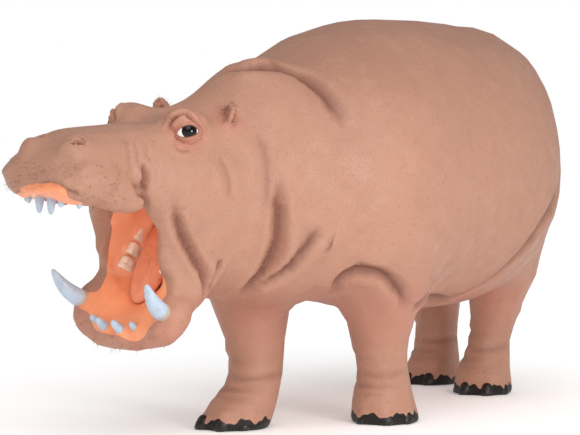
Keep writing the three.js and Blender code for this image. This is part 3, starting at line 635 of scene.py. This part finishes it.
def fold_body(clay):
    """The folds of the left side, chest, belly and rear, then those of the right side, which are
    shallower and fade out over longer ends."""
    crest = [
        (-0.2, -0.69, 1.345), (-0.144, -0.696, 1.357), (-0.075, -0.693, 1.365), (0.027, -0.605, 1.359),
        (0.093, -0.569, 1.332), (0.159, -0.552, 1.283), (0.223, -0.557, 1.215), (0.285, -0.565, 1.12),
    ]
    neck = [
        (0.127, -0.77, 0.985), (0.114, -0.787, 0.947), (0.11, -0.794, 0.888), (0.108, -0.791, 0.826),
        (0.099, -0.78, 0.734), (0.074, -0.779, 0.671), (0.038, -0.78, 0.615), (-0.03, -0.765, 0.55),
        (-0.11, -0.72, 0.51),
    ]
    chest = [
        (0.23, -0.66, 0.8), (0.199, -0.683, 0.739), (0.158, -0.708, 0.68), (0.104, -0.724, 0.628),
        (0.052, -0.742, 0.591), (-0.01, -0.762, 0.567),
    ]
    shoulder = [
        (0.175, -0.42, 0.505), (0.195, -0.47, 0.545), (0.223, -0.511, 0.58), (0.251, -0.509, 0.602),
        (0.296, -0.491, 0.617), (0.342, -0.466, 0.613), (0.38, -0.431, 0.594), (0.398, -0.357, 0.545),
        (0.409, -0.305, 0.497), (0.406, -0.219, 0.461),
    ]
    armpit = [
        (0.43, -0.105, 0.55), (0.427, -0.149, 0.507), (0.42, -0.188, 0.482), (0.4, -0.225, 0.455),
    ]
    belly = [
        (0.4, -0.2, 0.455), (0.36, 0.05, 0.44), (0.33, 0.25, 0.455), (0.367, 0.319, 0.478),
        (0.452, 0.376, 0.525), (0.535, 0.441, 0.597), (0.599, 0.5, 0.68), (0.633, 0.585, 0.763),
        (0.645, 0.673, 0.822), (0.64, 0.8, 0.9), (0.62, 0.92, 0.98),
    ]
    collar = [(0.04, -0.84, 1.16), (0.07, -0.82, 1.05), (0.08, -0.83, 0.93), (0.06, -0.84, 0.82)]
    left_rear = [(0.34, 1.38, 0.58), (0.24, 1.46, 0.64), (0.14, 1.5, 0.72), (0.09, 1.53, 0.84)]
    right_rear = [(-0.32, 1.46, 0.58), (-0.24, 1.52, 0.64), (-0.15, 1.54, 0.72), (-0.09, 1.55, 0.84)]
    for places, width, depth, roll in (
        (crest, 0.022, 0.017, 0.012),
        (neck, 0.024, 0.026, 0.018),
        (chest, 0.021, 0.022, 0.014),
        (shoulder, 0.022, 0.024, 0.015),
        (armpit, 0.018, 0.02, 0.012),
        (belly, 0.022, 0.016, 0.011),
        (collar, 0.024, 0.005, 0.004),
        (left_rear, 0.026, 0.007, 0.006),
        (right_rear, 0.026, 0.007, 0.006),
    ):
        clay.crease(places, width, depth, roll)
    jowl = [(-0.41, -0.66, 1.18), (-0.45, -0.68, 0.97), (-0.42, -0.7, 0.78), (-0.34, -0.74, 0.62)]
    dewlap = [(-0.39, -0.78, 1.04), (-0.42, -0.8, 0.86), (-0.38, -0.82, 0.7), (-0.28, -0.8, 0.56)]
    nape = [(-0.3, -0.64, 1.32), (-0.4, -0.6, 1.24), (-0.49, -0.54, 1.12), (-0.54, -0.5, 0.96)]
    breast = [
        (-0.16, -0.5, 0.44), (-0.26, -0.72, 0.53), (-0.34, -0.76, 0.6), (-0.42, -0.66, 0.6),
        (-0.44, -0.54, 0.54), (-0.42, -0.38, 0.46),
    ]
    groin = [(-0.36, 0.66, 0.45), (-0.48, 0.68, 0.52), (-0.58, 0.78, 0.66), (-0.63, 1.00, 0.84)]
    for places, width, depth in (
        (jowl, 0.026, 0.016),
        (dewlap, 0.022, 0.011),
        (nape, 0.028, 0.011),
        (breast, 0.022, 0.014),
        (groin, 0.026, 0.013),
    ):
        clay.crease(places, width, depth, 0.75 * depth, fade=0.5, shade=0.6)


# The middle of each leg at the floor, the wrist or ankle, and the elbow or hock: x and y, before the
# shift that puts the origin under the middle of the animal. A leg's halves are its half width and depth.
LEG_HEIGHTS = {"fore": (0.0, 0.2, 0.45), "hind": (0.0, 0.19, 0.36)}
LEG_LINES = {
    "foreleg_left": ((0.222, -0.412), (0.212, -0.43), (0.238, -0.51)),
    "foreleg_right": ((-0.226, -0.848), (-0.18, -0.748), (-0.228, -0.7)),
    "hindleg_left": ((0.184, 0.752), (0.19, 0.775), (0.205, 0.85)),
    "hindleg_right": ((-0.178, 1.054), (-0.172, 1.088), (-0.184, 1.108)),
}
JAW_JOINT_BEFORE = Vector((-0.273, -1.217, 0.985))
LEG_HALVES = {"fore": (0.104, 0.116), "hind": (0.096, 0.11)}


def leg_middle(leg, height):
    shift = JAW_JOINT - JAW_JOINT_BEFORE
    x, y = (np.interp(height, LEG_HEIGHTS[leg[:4]], row) for row in zip(*LEG_LINES[leg]))
    return x + shift.x, y + shift.y


def fold_legs(clay):
    """Rings of folds over the toes, at the wrists and ankles, and behind the elbows and hocks."""
    for leg in LEGS:
        half_width, half_depth = LEG_HALVES[leg[:4]]
        for height, start, end, droop, depth in (
            (0.122, -95, 80, 0.01, 0.004),
            (0.16, -120, 100, 0.014, 0.006),
            (0.208, -60, 130, 0.018, 0.007),
            (0.27, -130, 40, 0.016, 0.004),
            (0.33, 110, 250, -0.02, 0.006),
            (0.4, 100, 260, -0.03, 0.006),
        ):
            places = []
            for angle in np.radians(np.linspace(start, end, 7)):
                z = height - droop * math.cos(angle)
                x, y = leg_middle(leg, z)
                places.append((x + half_width * math.sin(angle), y - half_depth * math.cos(angle), z))
            clay.crease(places, 0.013, depth, 0.8 * depth, fade=0.4, shade=0.6)


# -------- skin: eyes, ears
# The opening between the lids, in degrees from straight out of the side of the head towards the nose,
# and in degrees up: its rear and front corners, and how far the lids part above and below the line
# between them.
REAR_CORNER = (-13.0, 9.0)
FRONT_CORNER = (99.0, -12.0)
UPPER_LID = 34.0
LOWER_LID = 19.0
LID = 0.0055  # the lids' thickness over the eyeball
IN_THE_SOCKET = 0.012  # how far under the eyeball's surface the skin lies in the opening


def open_eye(clay, side):
    """Draws the skin over the eyeball as two lids, and clears the opening between them."""
    low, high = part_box(f"eye_{side}")
    radius = (high.z - low.z) / 2
    centre = np.array(eye_middle(side))
    members = clay.near(centre[None, :], 3.0 * radius)
    ray = (clay.points[members] - centre) @ np.array(HEAD_TURN.to_3x3())
    ray[:, 0] *= SIDES[side]
    reach = np.linalg.norm(ray, axis=1)
    turn = np.degrees(np.arctan2(-ray[:, 1], ray[:, 0]))
    rise = np.degrees(np.arctan2(ray[:, 2], np.hypot(ray[:, 0], ray[:, 1])))
    share = (turn - REAR_CORNER[0]) / (FRONT_CORNER[0] - REAR_CORNER[0])
    inner = np.clip(share, 0.0, 1.0)
    middle = REAR_CORNER[1] + inner * (FRONT_CORNER[1] - REAR_CORNER[1])
    arch = np.sin(np.pi * inner)
    upper = middle + UPPER_LID * arch**0.65
    lower = middle - LOWER_LID * arch ** (0.5 + 0.3 * inner)
    inside = np.minimum(upper - rise, rise - lower)
    past = np.maximum(-share, share - 1.0) * (FRONT_CORNER[0] - REAR_CORNER[0])
    inside = np.where(past > 0, -np.hypot(past, rise - middle), inside)
    rim = np.exp(-(((inside + 6.0) / 4.5) ** 2))
    over = radius + LID + 0.003 * rim
    level = np.where(inside > 0, over - (LID + IN_THE_SOCKET) * smooth_step(0.0, 3.0, inside), over)
    weight = smooth_step(-36.0, -13.0, inside) * smooth_step(2.6, 1.5, reach / radius)
    weight *= smooth_step(-75.0, -45.0, turn) * smooth_step(170.0, 140.0, turn)
    target = reach + (level - reach) * weight
    clear = (reach < 1.7 * radius) & (inside < 0) & (turn > -60) & (turn < 150)
    target = np.where(clear, np.maximum(target, radius + 0.7 * LID), target)
    scale = target / reach
    clay.points[members] = centre + (clay.points[members] - centre) * scale[:, None]
    # painted shade along the edges of the lids
    clay.crease_shade[members] = np.maximum(clay.crease_shade[members], 0.75 * np.exp(-((inside / 2.5) ** 2)) * weight)


# -------- skin: markings
def ellipsoid_depth(points, centre, radii, tilt=0.0):
    """About how far each point is outside an ellipsoid, in metres."""
    local = seen_from(Matrix.Translation(centre) @ turned(x=tilt), points)
    k0 = np.linalg.norm(local / radii, axis=1)
    k1 = np.linalg.norm(local / np.square(radii), axis=1)
    return k0 * (k0 - 1.0) / (k1 + 1e-9)


def lining_depth(points, normals):
    """How far each point is inside the lining of the mouth, in millimetres, and negative on the hide."""
    head, jaw = seen_from(HEAD, points), seen_from(JAW, points)
    head_up = (normals @ np.array(HEAD_TURN.to_3x3()))[:, 2]
    jaw_up = (normals @ np.array(JAW_TURN.to_3x3()))[:, 2]

    def rounded_patch(x, y, centre, halves):
        reach = (np.abs(x / halves[0]) ** 4 + np.abs((y - centre) / halves[1]) ** 4) ** 0.25
        return (1.0 - reach) * min(halves)

    hollows = np.minimum.reduce([
        ellipsoid_depth(head, (0, -0.4, -0.148), (0.13, 0.236, 0.092)),
        ellipsoid_depth(head, (0, -0.215, -0.28), (0.134, 0.215, 0.2), 24.0),
        ellipsoid_depth(jaw, (0, -0.345, -0.038), (0.136, 0.29, 0.066)),
    ])
    # the hide goes round the front edge of each cheek web and a little way in
    web = seen_from(HEAD @ Matrix.Translation((0.0, -0.114, -0.262)) @ turned(x=20), points)
    front = -0.126 * np.sqrt(np.clip(1.0 - (web[:, 2] / 0.245) ** 2, 0.0, 1.0))
    aside = np.abs(jaw[:, 0])
    corner = 0.53 * (jaw[:, 1] + 0.228 + 1.585 * (0.084 - jaw[:, 2]))
    corner = np.where((jaw[:, 2] > -0.03) & (jaw[:, 2] < 0.1), corner, 1.0)
    inward = web[:, 1] - front - 0.06 + 0.05 * smooth_step(0.05, -0.02, jaw[:, 2])
    throat = np.minimum.reduce([0.016 - hollows, inward, np.maximum(corner, 0.128 - aside)])
    floor = rounded_patch(jaw[:, 0] - 0.021, jaw[:, 1], -0.457, (0.172, 0.197))
    slant = 0.84 * (0.15 - aside) - 0.54 * (jaw[:, 1] + 0.405)
    low = np.maximum(-0.03 - jaw[:, 2], 0.128 - aside)
    floor = np.minimum.reduce([floor, slant, low])
    gum = 0.036 - np.hypot(0.5 * (aside - 0.165), jaw[:, 1] + 0.55)
    share = np.clip(0.5 + (floor - gum) / 0.06, 0.0, 1.0)
    floor = gum + (floor - gum) * share + 0.03 * share * (1.0 - share)
    floor = np.minimum.reduce([floor, 0.06 * (jaw_up - 0.15), 0.08 - np.abs(jaw[:, 2] + 0.07)])
    roof = rounded_patch(head[:, 0], head[:, 1], -0.45, (0.112, 0.25))
    roof = np.minimum.reduce([roof, 0.06 * (-0.15 - head_up), 0.08 - np.abs(head[:, 2] + 0.12)])
    edge = [(-0.185, -0.66, -0.13), *LIP_EDGE[::-1], (0.17, -0.66, -0.1)]
    lip_edge = np.interp(head[:, 0], [x for x, _, _ in edge], [z for _, _, z in edge])
    lip = [lip_edge - 0.004 - head[:, 2], head[:, 2] + 0.16, 0.17 - head[:, 0], head[:, 0] + 0.185]
    lip = np.minimum.reduce([*lip, -0.6 - head[:, 1]])
    return 1000.0 * np.clip(np.maximum.reduce([throat, floor, roof, lip]), -0.03, 0.03)


def sole_depth(points):
    """How far each point is inside the near-black band round the bottom of each foot, in millimetres.
    The band's upper edge is wavy."""
    turn = np.zeros(len(points))
    away = np.full(len(points), 9.0)
    for leg in LEGS:
        x, y = leg_middle(leg, 0.0)
        gap = np.hypot(points[:, 0] - x, points[:, 1] - y)
        turn = np.where(gap < away, np.arctan2(points[:, 0] - x, y - points[:, 1]), turn)
        away = np.minimum(gap, away)
    edge = 0.038 + 0.01 * np.cos(8.0 * turn) + 0.004 * np.sin(21.0 * turn)
    return 1000.0 * np.clip(edge - points[:, 2], -0.03, 0.03)


def pink_share(points):
    """1 where the hide is thin and pink: round the eyes, in the ears, on the lips and under the belly."""
    share = np.zeros(len(points))
    for side in SIDES:
        away = np.linalg.norm(points - np.array(eye_middle(side)), axis=1)
        share = np.maximum(share, 0.8 * smooth_step(0.1, 0.05, away))
        away = np.linalg.norm(points - np.array(middle_of(f"ear_{side}")), axis=1)
        share = np.maximum(share, 0.6 * smooth_step(0.09, 0.05, away))
    belly = smooth_step(0.62, 0.45, points[:, 2]) * smooth_step(0.25, 0.4, points[:, 2])
    return np.maximum(share, 0.6 * belly)


def refine(piece, places, reach):
    """Divides the faces near these places."""
    faces = piece.data.polygons
    centres = rows_of(faces, "center")
    near = np.zeros(len(faces), bool)
    for place in places:
        near |= np.linalg.norm(centres - np.array(place), axis=1) < reach
    only(piece)
    bpy.ops.object.mode_set(mode="EDIT")
    bpy.ops.mesh.select_mode(type="FACE")
    bpy.ops.mesh.select_all(action="DESELECT")
    bpy.ops.object.mode_set(mode="OBJECT")
    faces.foreach_set("select", near)
    bpy.ops.object.mode_set(mode="EDIT")
    bpy.ops.mesh.subdivide(number_cuts=1, smoothness=0.0)
    bpy.ops.mesh.select_mode(type="VERT")
    bpy.ops.object.mode_set(mode="OBJECT")


def nostril_places():
    places = [(side * 0.12, -0.6, 0.1) for side in SIDES.values()]
    return [Vector(place) for place in placed(HEAD, places)]


def make_skin():
    skin = rough_skin()
    set_group(skin, "soft", softness(points_of(skin)))
    draw_smooth(skin, "soft", SMOOTHING_STEPS)
    eyes = [eye_middle(side) for side in SIDES]
    ears = [middle_of(f"ear_{side}") for side in SIDES]
    refine(skin, [*eyes, *nostril_places(), *ears], FINE_REACH)
    refine(skin, eyes, EYE_REACH)
    refine(skin, nostril_places(), NOSTRIL_REACH)
    clay = Clay(skin)
    fold_body(clay)
    fold_head(clay)
    fold_nostrils(clay)
    fold_lips(clay)
    fold_legs(clay)
    clay.settle()
    for side in SIDES:
        open_eye(clay, side)
    clay.points[:, 2] = np.maximum(clay.points[:, 2], 0.0)
    clay.settle()
    # folds: the painted shade of each point, from the creases and lid edges
    worked, folds = clay.points.copy(), clay.crease_shade
    triangles = sum(len(face.vertices) - 2 for face in skin.data.polygons)
    head = seen_from(HEAD, worked)
    plain = smooth_step(0.0, 0.35, head[:, 1]) * smooth_step(0.07, 0.13, worked[:, 2])
    set_group(skin, "coarse", 0.04 + 0.96 * plain)
    if triangles > SKIN_FACES:
        ratio = SKIN_FACES / triangles
        finished_with(skin, "DECIMATE", ratio=ratio, vertex_group="coarse", vertex_group_factor=1.0)
    points, normals = points_of(skin), normals_of(skin)
    tree = tree_of(worked)
    nearest = [tree.find(point)[1] for point in points]
    lining = lining_depth(points, normals)
    # the painted shade of the creases and lid edges, kept out of the mouth's lining
    set_attribute(skin, "crease_shade", folds[nearest] * smooth_step(3.0, -3.0, lining))
    set_attribute(skin, "lining", lining)
    set_attribute(skin, "pink", pink_share(points))
    set_attribute(skin, "sole", sole_depth(points))
    # throat: where the lining is painted paler, as painted light in the shade at the back of the mouth
    behind = smooth_step(-0.43, -0.33, seen_from(JAW, points)[:, 1])
    set_attribute(skin, "throat", behind * smooth_step(-0.55, -0.4, seen_from(HEAD, points)[:, 1]))
    return dressed(skin, made_of(moist_bare_hide), "skin", *FLESH)


# -------- eyes, teeth, tongue and nails
GAZE = (0.83, -0.55, 0.155)  # where the eye looks, in the head's frame


def make_eyes():
    material = made_of(wet_eyeball)
    for side, sign in SIDES.items():
        low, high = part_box(f"eye_{side}")
        gaze = (HEAD_TURN.to_3x3() @ Vector((sign * GAZE[0], *GAZE[1:]))).normalized()
        centre = eye_middle(side)
        eye = started("uv_sphere", segments=64, ring_count=48, radius=(high.z - low.z) / 2)
        eye.name = f"eyeball_{side}"
        eye.data.transform(Matrix.Translation(centre) @ gaze.to_track_quat("Z", "Y").to_matrix().to_4x4())
        rays = points_of(eye) - np.array(centre)
        angle = np.degrees(np.arccos(np.clip(rays @ np.array(gaze) / np.linalg.norm(rays, axis=1), -1, 1)))
        swollen = 1.0 + 0.035 * smooth_step(38.0, 12.0, angle)
        move_points(eye, np.array(centre) + rays * swollen[:, None])
        set_attribute(eye, "gaze", angle)
        dressed(eye, material, "eyeball", f"eye_{side}")


def rounded_copy(node, name, levels=3):
    """A smooth copy of a faceted solid, as full as the solid is."""
    piece = copy_of(node, name)
    edited(piece, bpy.ops.mesh.tris_convert_to_quads, face_threshold=0.7, shape_threshold=0.7)
    finished_with(piece, "SUBSURF", levels=levels, render_levels=levels)
    return piece


GUM_LINES = {"tusk": -0.035, "lower": -0.058, "upper": 0.085}  # how far up each tooth leaves its gum


def make_teeth():
    material = made_of(worn_ivory)
    for node in TEETH:
        tooth = rounded_copy(node, f"ivory_{node}")
        finished_with(tooth, "DISPLACE", strength=0.003, mid_level=0.0)
        space = JAW if node.startswith(("tusk", "lower")) else HEAD
        up = seen_from(space, points_of(tooth))[:, 2] * (1 if space is JAW else -1)
        gum = GUM_LINES[node.split("_")[0]]
        set_attribute(tooth, "root", smooth_step(gum + 0.03, gum - 0.01, up))
        dressed(tooth, material, "ivory", node)


def make_nails():
    material = made_of(black_hoof_horn)
    for node in NAILS:
        nail = rounded_copy(node, f"horn_{node}", levels=2)
        finished_with(nail, "DISPLACE", strength=0.006, mid_level=0.0)
        points = points_of(nail)
        points[:, 2] = np.maximum(points[:, 2], 0.001)
        move_points(nail, points)
        dressed(nail, material, "horn", node)


def make_tongue():
    tongue = rounded_copy("tongue", "tongue_flesh", levels=3)
    clay = Clay(tongue)
    clay.crease(placed(JAW, ((0, -0.5, -0.07), (0, -0.35, -0.06), (0, -0.15, -0.06))), 0.014, 0.01)
    clay.settle()
    dressed(tongue, made_of(wet_tongue), "mouth_lining", "tongue")


CHEEK_TEETH = {"first": -0.364, "pitch": 0.06, "count": 4, "x": 0.11}
MOLAR = (0.035, 0.048, 0.058)  # width, length and height
UPPER_ROW_INSET = 0.006  # how much further in and up each upper molar sits than the one before it


def make_cheek_teeth():
    """A row of four molars along each side of both jaws, with worn cusps."""
    molar = started("cube", size=1.0)
    edited(molar, bpy.ops.mesh.subdivide, number_cuts=5)
    points = points_of(molar)
    waist = 1.0 - 0.18 * smooth_step(0.0, -0.5, points[:, 2])
    cusps = 0.1 * np.cos(4 * math.pi * points[:, 0]) ** 2 * np.cos(2 * math.pi * points[:, 1]) ** 2
    points = points * np.stack([waist, waist, np.ones(len(points))], axis=1)
    points[:, 2] += np.where(points[:, 2] > 0.49, cusps, 0.0)
    move_points(molar, points * MOLAR)
    finished_with(molar, "SMOOTH", factor=0.5, iterations=4)
    finished_with(molar, "SUBSURF", levels=1, render_levels=1)
    copies = []
    for space, gum, up in ((HEAD, -0.088, -1), (JAW, -0.082, 1)):
        for n in range(CHEEK_TEETH["count"]):
            for side in SIDES.values():
                tooth = molar.copy()
                tooth.data = molar.data.copy()
                inset = UPPER_ROW_INSET * n if up < 0 else 0.0
                x, y = CHEEK_TEETH["x"] - inset, CHEEK_TEETH["first"] + n * CHEEK_TEETH["pitch"]
                place = (side * x, y, gum + inset)
                flip = Matrix.Rotation(math.pi if up < 0 else 0.0, 4, "X")
                tooth.data.transform(space @ Matrix.Translation(place) @ flip)
                copies.append(in_scene(tooth))
    bpy.data.objects.remove(molar)
    molars = joined(copies, "cheek_teeth")
    dressed(molars, made_of(cream_molar_enamel), "ivory")


# -------- hair
# A hippopotamus has next to no hair: stiff bristles on its lips, a fringe on each ear and two rows at
# the tip of its tail.
SHORT_HAIR, TAIL_HAIR = (0.014, 0.026), (0.045, 0.085)  # the shortest and the longest, in metres
HAIR_RADIUS = 0.0006
TAIL_HAIR_RADIUS = 0.0013
BRISTLE_SIDES = 3
BRISTLE_RINGS = 4


def bristle_shape():
    """A bristle along +Z, one long and one wide: a thin cone of three sides."""
    spots = []
    for ring in range(BRISTLE_RINGS):
        share = ring / BRISTLE_RINGS
        for corner in range(BRISTLE_SIDES):
            turn = 2 * math.pi * corner / BRISTLE_SIDES
            wide = 1.0 - 0.75 * share
            spots.append((wide * math.cos(turn), wide * math.sin(turn), share))
    spots.append((0.0, 0.0, 1.0))
    faces = [tuple(range(BRISTLE_SIDES))[::-1]]
    for ring in range(BRISTLE_RINGS - 1):
        for corner in range(BRISTLE_SIDES):
            a, b = ring * BRISTLE_SIDES + corner, ring * BRISTLE_SIDES + (corner + 1) % BRISTLE_SIDES
            faces.append((a, b, b + BRISTLE_SIDES, a + BRISTLE_SIDES))
    last = (BRISTLE_RINGS - 1) * BRISTLE_SIDES
    for corner in range(BRISTLE_SIDES):
        faces.append((last + corner, last + (corner + 1) % BRISTLE_SIDES, len(spots) - 1))
    return np.array(spots), faces


def make_hair(name, material, roots, ways, lengths, per_tuft, places_on_skin, rng, radius=HAIR_RADIUS):
    """Tufts of bristles at these roots, as one piece. places_on_skin gives each root's place on an
    unwrap of the skin, and all of a tuft lies within a small patch there."""
    shape, shape_faces = bristle_shape()
    spots, faces, patches = [], [], []
    for root, way, length, patch in zip(roots, ways, lengths, places_on_skin):
        for _ in range(per_tuft):
            up = way + 0.22 * rng.normal(size=3)
            up /= np.linalg.norm(up)
            across = np.cross(up, rng.normal(size=3))
            across /= np.linalg.norm(across)
            along = np.cross(up, across)
            long = length * rng.uniform(0.7, 1.1)
            droop = np.array((0.0, 0.0, -0.12 * long)) * shape[:, 2:3] ** 2
            start = root + 0.0012 * rng.normal(size=3) - 0.003 * way
            local = radius * (shape[:, 0:1] * across + shape[:, 1:2] * along)
            first = len(spots)
            spots.extend(start + local + long * shape[:, 2:3] * up + droop)
            faces.extend(tuple(first + corner for corner in face) for face in shape_faces)
            patches.extend([patch] * len(shape))
    mesh = bpy.data.meshes.new(name)
    mesh.from_pydata([tuple(spot) for spot in spots], [], faces)
    layer = mesh.uv_layers.new(name="OFBake")
    corners = np.empty(len(mesh.loops), np.int32)
    mesh.loops.foreach_get("vertex_index", corners)
    spread = rng.uniform(-0.0015, 0.0015, size=(len(spots), 2))
    layer.data.foreach_set("uv", (np.array(patches) + spread)[corners].astype(np.float32).ravel())
    dressed(in_scene(bpy.data.objects.new(name, mesh)), material, "skin")


def unwrapped(local, low, high):
    """Places on a cylinder round the second axis, from 0 to 1 both ways."""
    around = np.arctan2(local[:, 0], local[:, 2]) / (2 * math.pi) + 0.5
    along = (local[:, 1] - low) / (high - low)
    return np.stack([0.02 + 0.96 * around, 0.02 + 0.96 * np.clip(along, 0.0, 1.0)], axis=1)


def scattered(points, wanted, count, gap, rng):
    """Some of the wanted points, no two nearer than a gap."""
    chosen = []
    for n in rng.permutation(np.flatnonzero(wanted)):
        if len(chosen) == count:
            break
        if not chosen or np.linalg.norm(points[chosen] - points[n], axis=1).min() > gap:
            chosen.append(n)
    return np.array(chosen)


def ear_leaves():
    """Points all over the leaf of each ear."""
    leaves = {}
    for side in SIDES:
        leaf = rounded_copy(f"ear_{side}", "leaf", levels=2)
        leaves[side] = points_of(leaf)
        bpy.data.objects.remove(leaf)
    return leaves


def make_bristles(skin, leaves):
    rng = np.random.default_rng(7)
    material = made_of(stiff_bristle)
    points, normals = points_of(skin), normals_of(skin)
    lining = lining_depth(points, normals)
    head, jaw = seen_from(HEAD, points), seen_from(JAW, points)

    lips = (head[:, 1] < -0.45) & (head[:, 2] < 0.035) & (head[:, 2] > -0.14) & (lining < -6)
    chin = (jaw[:, 1] < -0.5) & (jaw[:, 2] < -0.05) & (jaw[:, 2] > -0.22) & (lining < -6)
    for name, wanted, space, number in (("whiskers", lips, HEAD, 130), ("chin_bristles", chin, JAW, 90)):
        chosen = scattered(points, wanted, number, 0.017, rng)
        ways = 0.8 * normals[chosen] + (0.0, 0.0, -0.35)
        lengths = rng.uniform(*SHORT_HAIR, len(chosen))
        patches = unwrapped(seen_from(space, points[chosen]), -0.8, 0.3)
        make_hair(name, material, points[chosen], ways, lengths, 2, patches, rng)

    for side in SIDES:
        middle = np.array(middle_of(f"ear_{side}"))
        local = head - seen_from(HEAD, middle[None, :])
        close = np.flatnonzero(np.linalg.norm(local, axis=1) < 0.12)
        tree = tree_of(leaves[side])
        gap = np.full(len(points), 1.0)
        gap[close] = [tree.find(point)[2] for point in points[close]]
        away = np.hypot(local[:, 0], local[:, 2] + 0.03)
        rim = (gap < 0.009) & (away > 0.05) & (local[:, 2] > -0.02)
        chosen = scattered(points, rim, 60, 0.004, rng)
        ways = 0.5 * normals[chosen] + 0.8 * placed(HEAD_TURN, local[chosen] / away[chosen, None])
        lengths = rng.uniform(*SHORT_HAIR, len(chosen))
        patches = unwrapped(local[chosen], -0.06, 0.06)
        make_hair(f"ear_fringe_{side}", material, points[chosen], ways, lengths, 2, patches, rng)

    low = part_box("tail")[0]
    local = points - np.array(middle_of("tail"))
    tip = (points[:, 1] > low.y + 0.08) & (np.abs(local[:, 0]) < 0.08) & (np.abs(normals[:, 0]) > 0.25)
    tip &= (points[:, 2] > low.z - 0.02) & (points[:, 2] < low.z + 0.15)
    chosen = scattered(points, tip, 130, 0.004, rng)
    ways = 0.55 * normals[chosen] + (0.0, 0.0, -0.75)
    lengths = rng.uniform(*TAIL_HAIR, len(chosen))
    patches = unwrapped(local[chosen][:, (0, 2, 1)], -0.25, 0.25)
    make_hair("tail_bristles", material, points[chosen], ways, lengths, 3, patches, rng, TAIL_HAIR_RADIUS)


# -------- stage
CEILING = 0.64  # how bright the studio is overhead, against 1 at the horizon
IN_REFLECTIONS = 0.45  # the studio's strength in a reflection, so that wet and glossy places stay dark
KEY_WAY = Vector((-0.42, 0.62, -0.8))
SOFTBOX_PLACE = Vector((3.56, -2.59, 1.58))
SOFTBOX_AIM = Vector((-0.11, -1.08, 1.13))  # the head


def add_light(name, kind, place, way, **settings):
    """A light of the studio that shines one way."""
    light = bpy.data.lights.new(name, kind)
    for setting, value in settings.items():
        setattr(light, setting, value)
    lamp = in_scene(bpy.data.objects.new(name, light))
    lamp.location = place
    lamp.rotation_euler = way.to_track_quat("-Z", "Y").to_euler()


def make_stage():
    floor = started("plane", size=120.0, location=(0, 0, 0))
    floor.name = "floor"
    floor.data.materials.append(made_of(matt_white_floor))

    world = bpy.data.worlds.new("studio")
    world.use_nodes = True
    world.node_tree.nodes.clear()
    add = partial(add_node, world.node_tree)
    height = add("SeparateXYZ", (add("TexCoord", output="Generated"),), output="Z")
    light = add("MapRange", (height, 0.12, 0.6, 1.0, CEILING), **SOFTLY)
    mirrored = add("LightPath", output="Is Glossy Ray")
    dimmed = add("MapRange", (mirrored, 0.0, 1.0, 1.0, IN_REFLECTIONS), **SOFTLY)
    light = add("Math", (light, dimmed), operation="MULTIPLY")
    add("OutputWorld", (add("Background", {"Color": "#FFFFFF", "Strength": light}),))
    bpy.context.scene.world = world
    bpy.context.scene.view_settings.view_transform = "Standard"

    add_light("key", "SUN", (0, 0, 0), KEY_WAY, energy=1.24, angle=math.radians(50))
    add_light("softbox", "AREA", SOFTBOX_PLACE, SOFTBOX_AIM - SOFTBOX_PLACE, energy=58.0, size=0.9)


make_camera()
make_stage()
leaves = ear_leaves()
hide = make_skin()
make_eyes()
make_teeth()
make_cheek_teeth()
make_nails()
make_tongue()
make_bristles(hide, leaves)
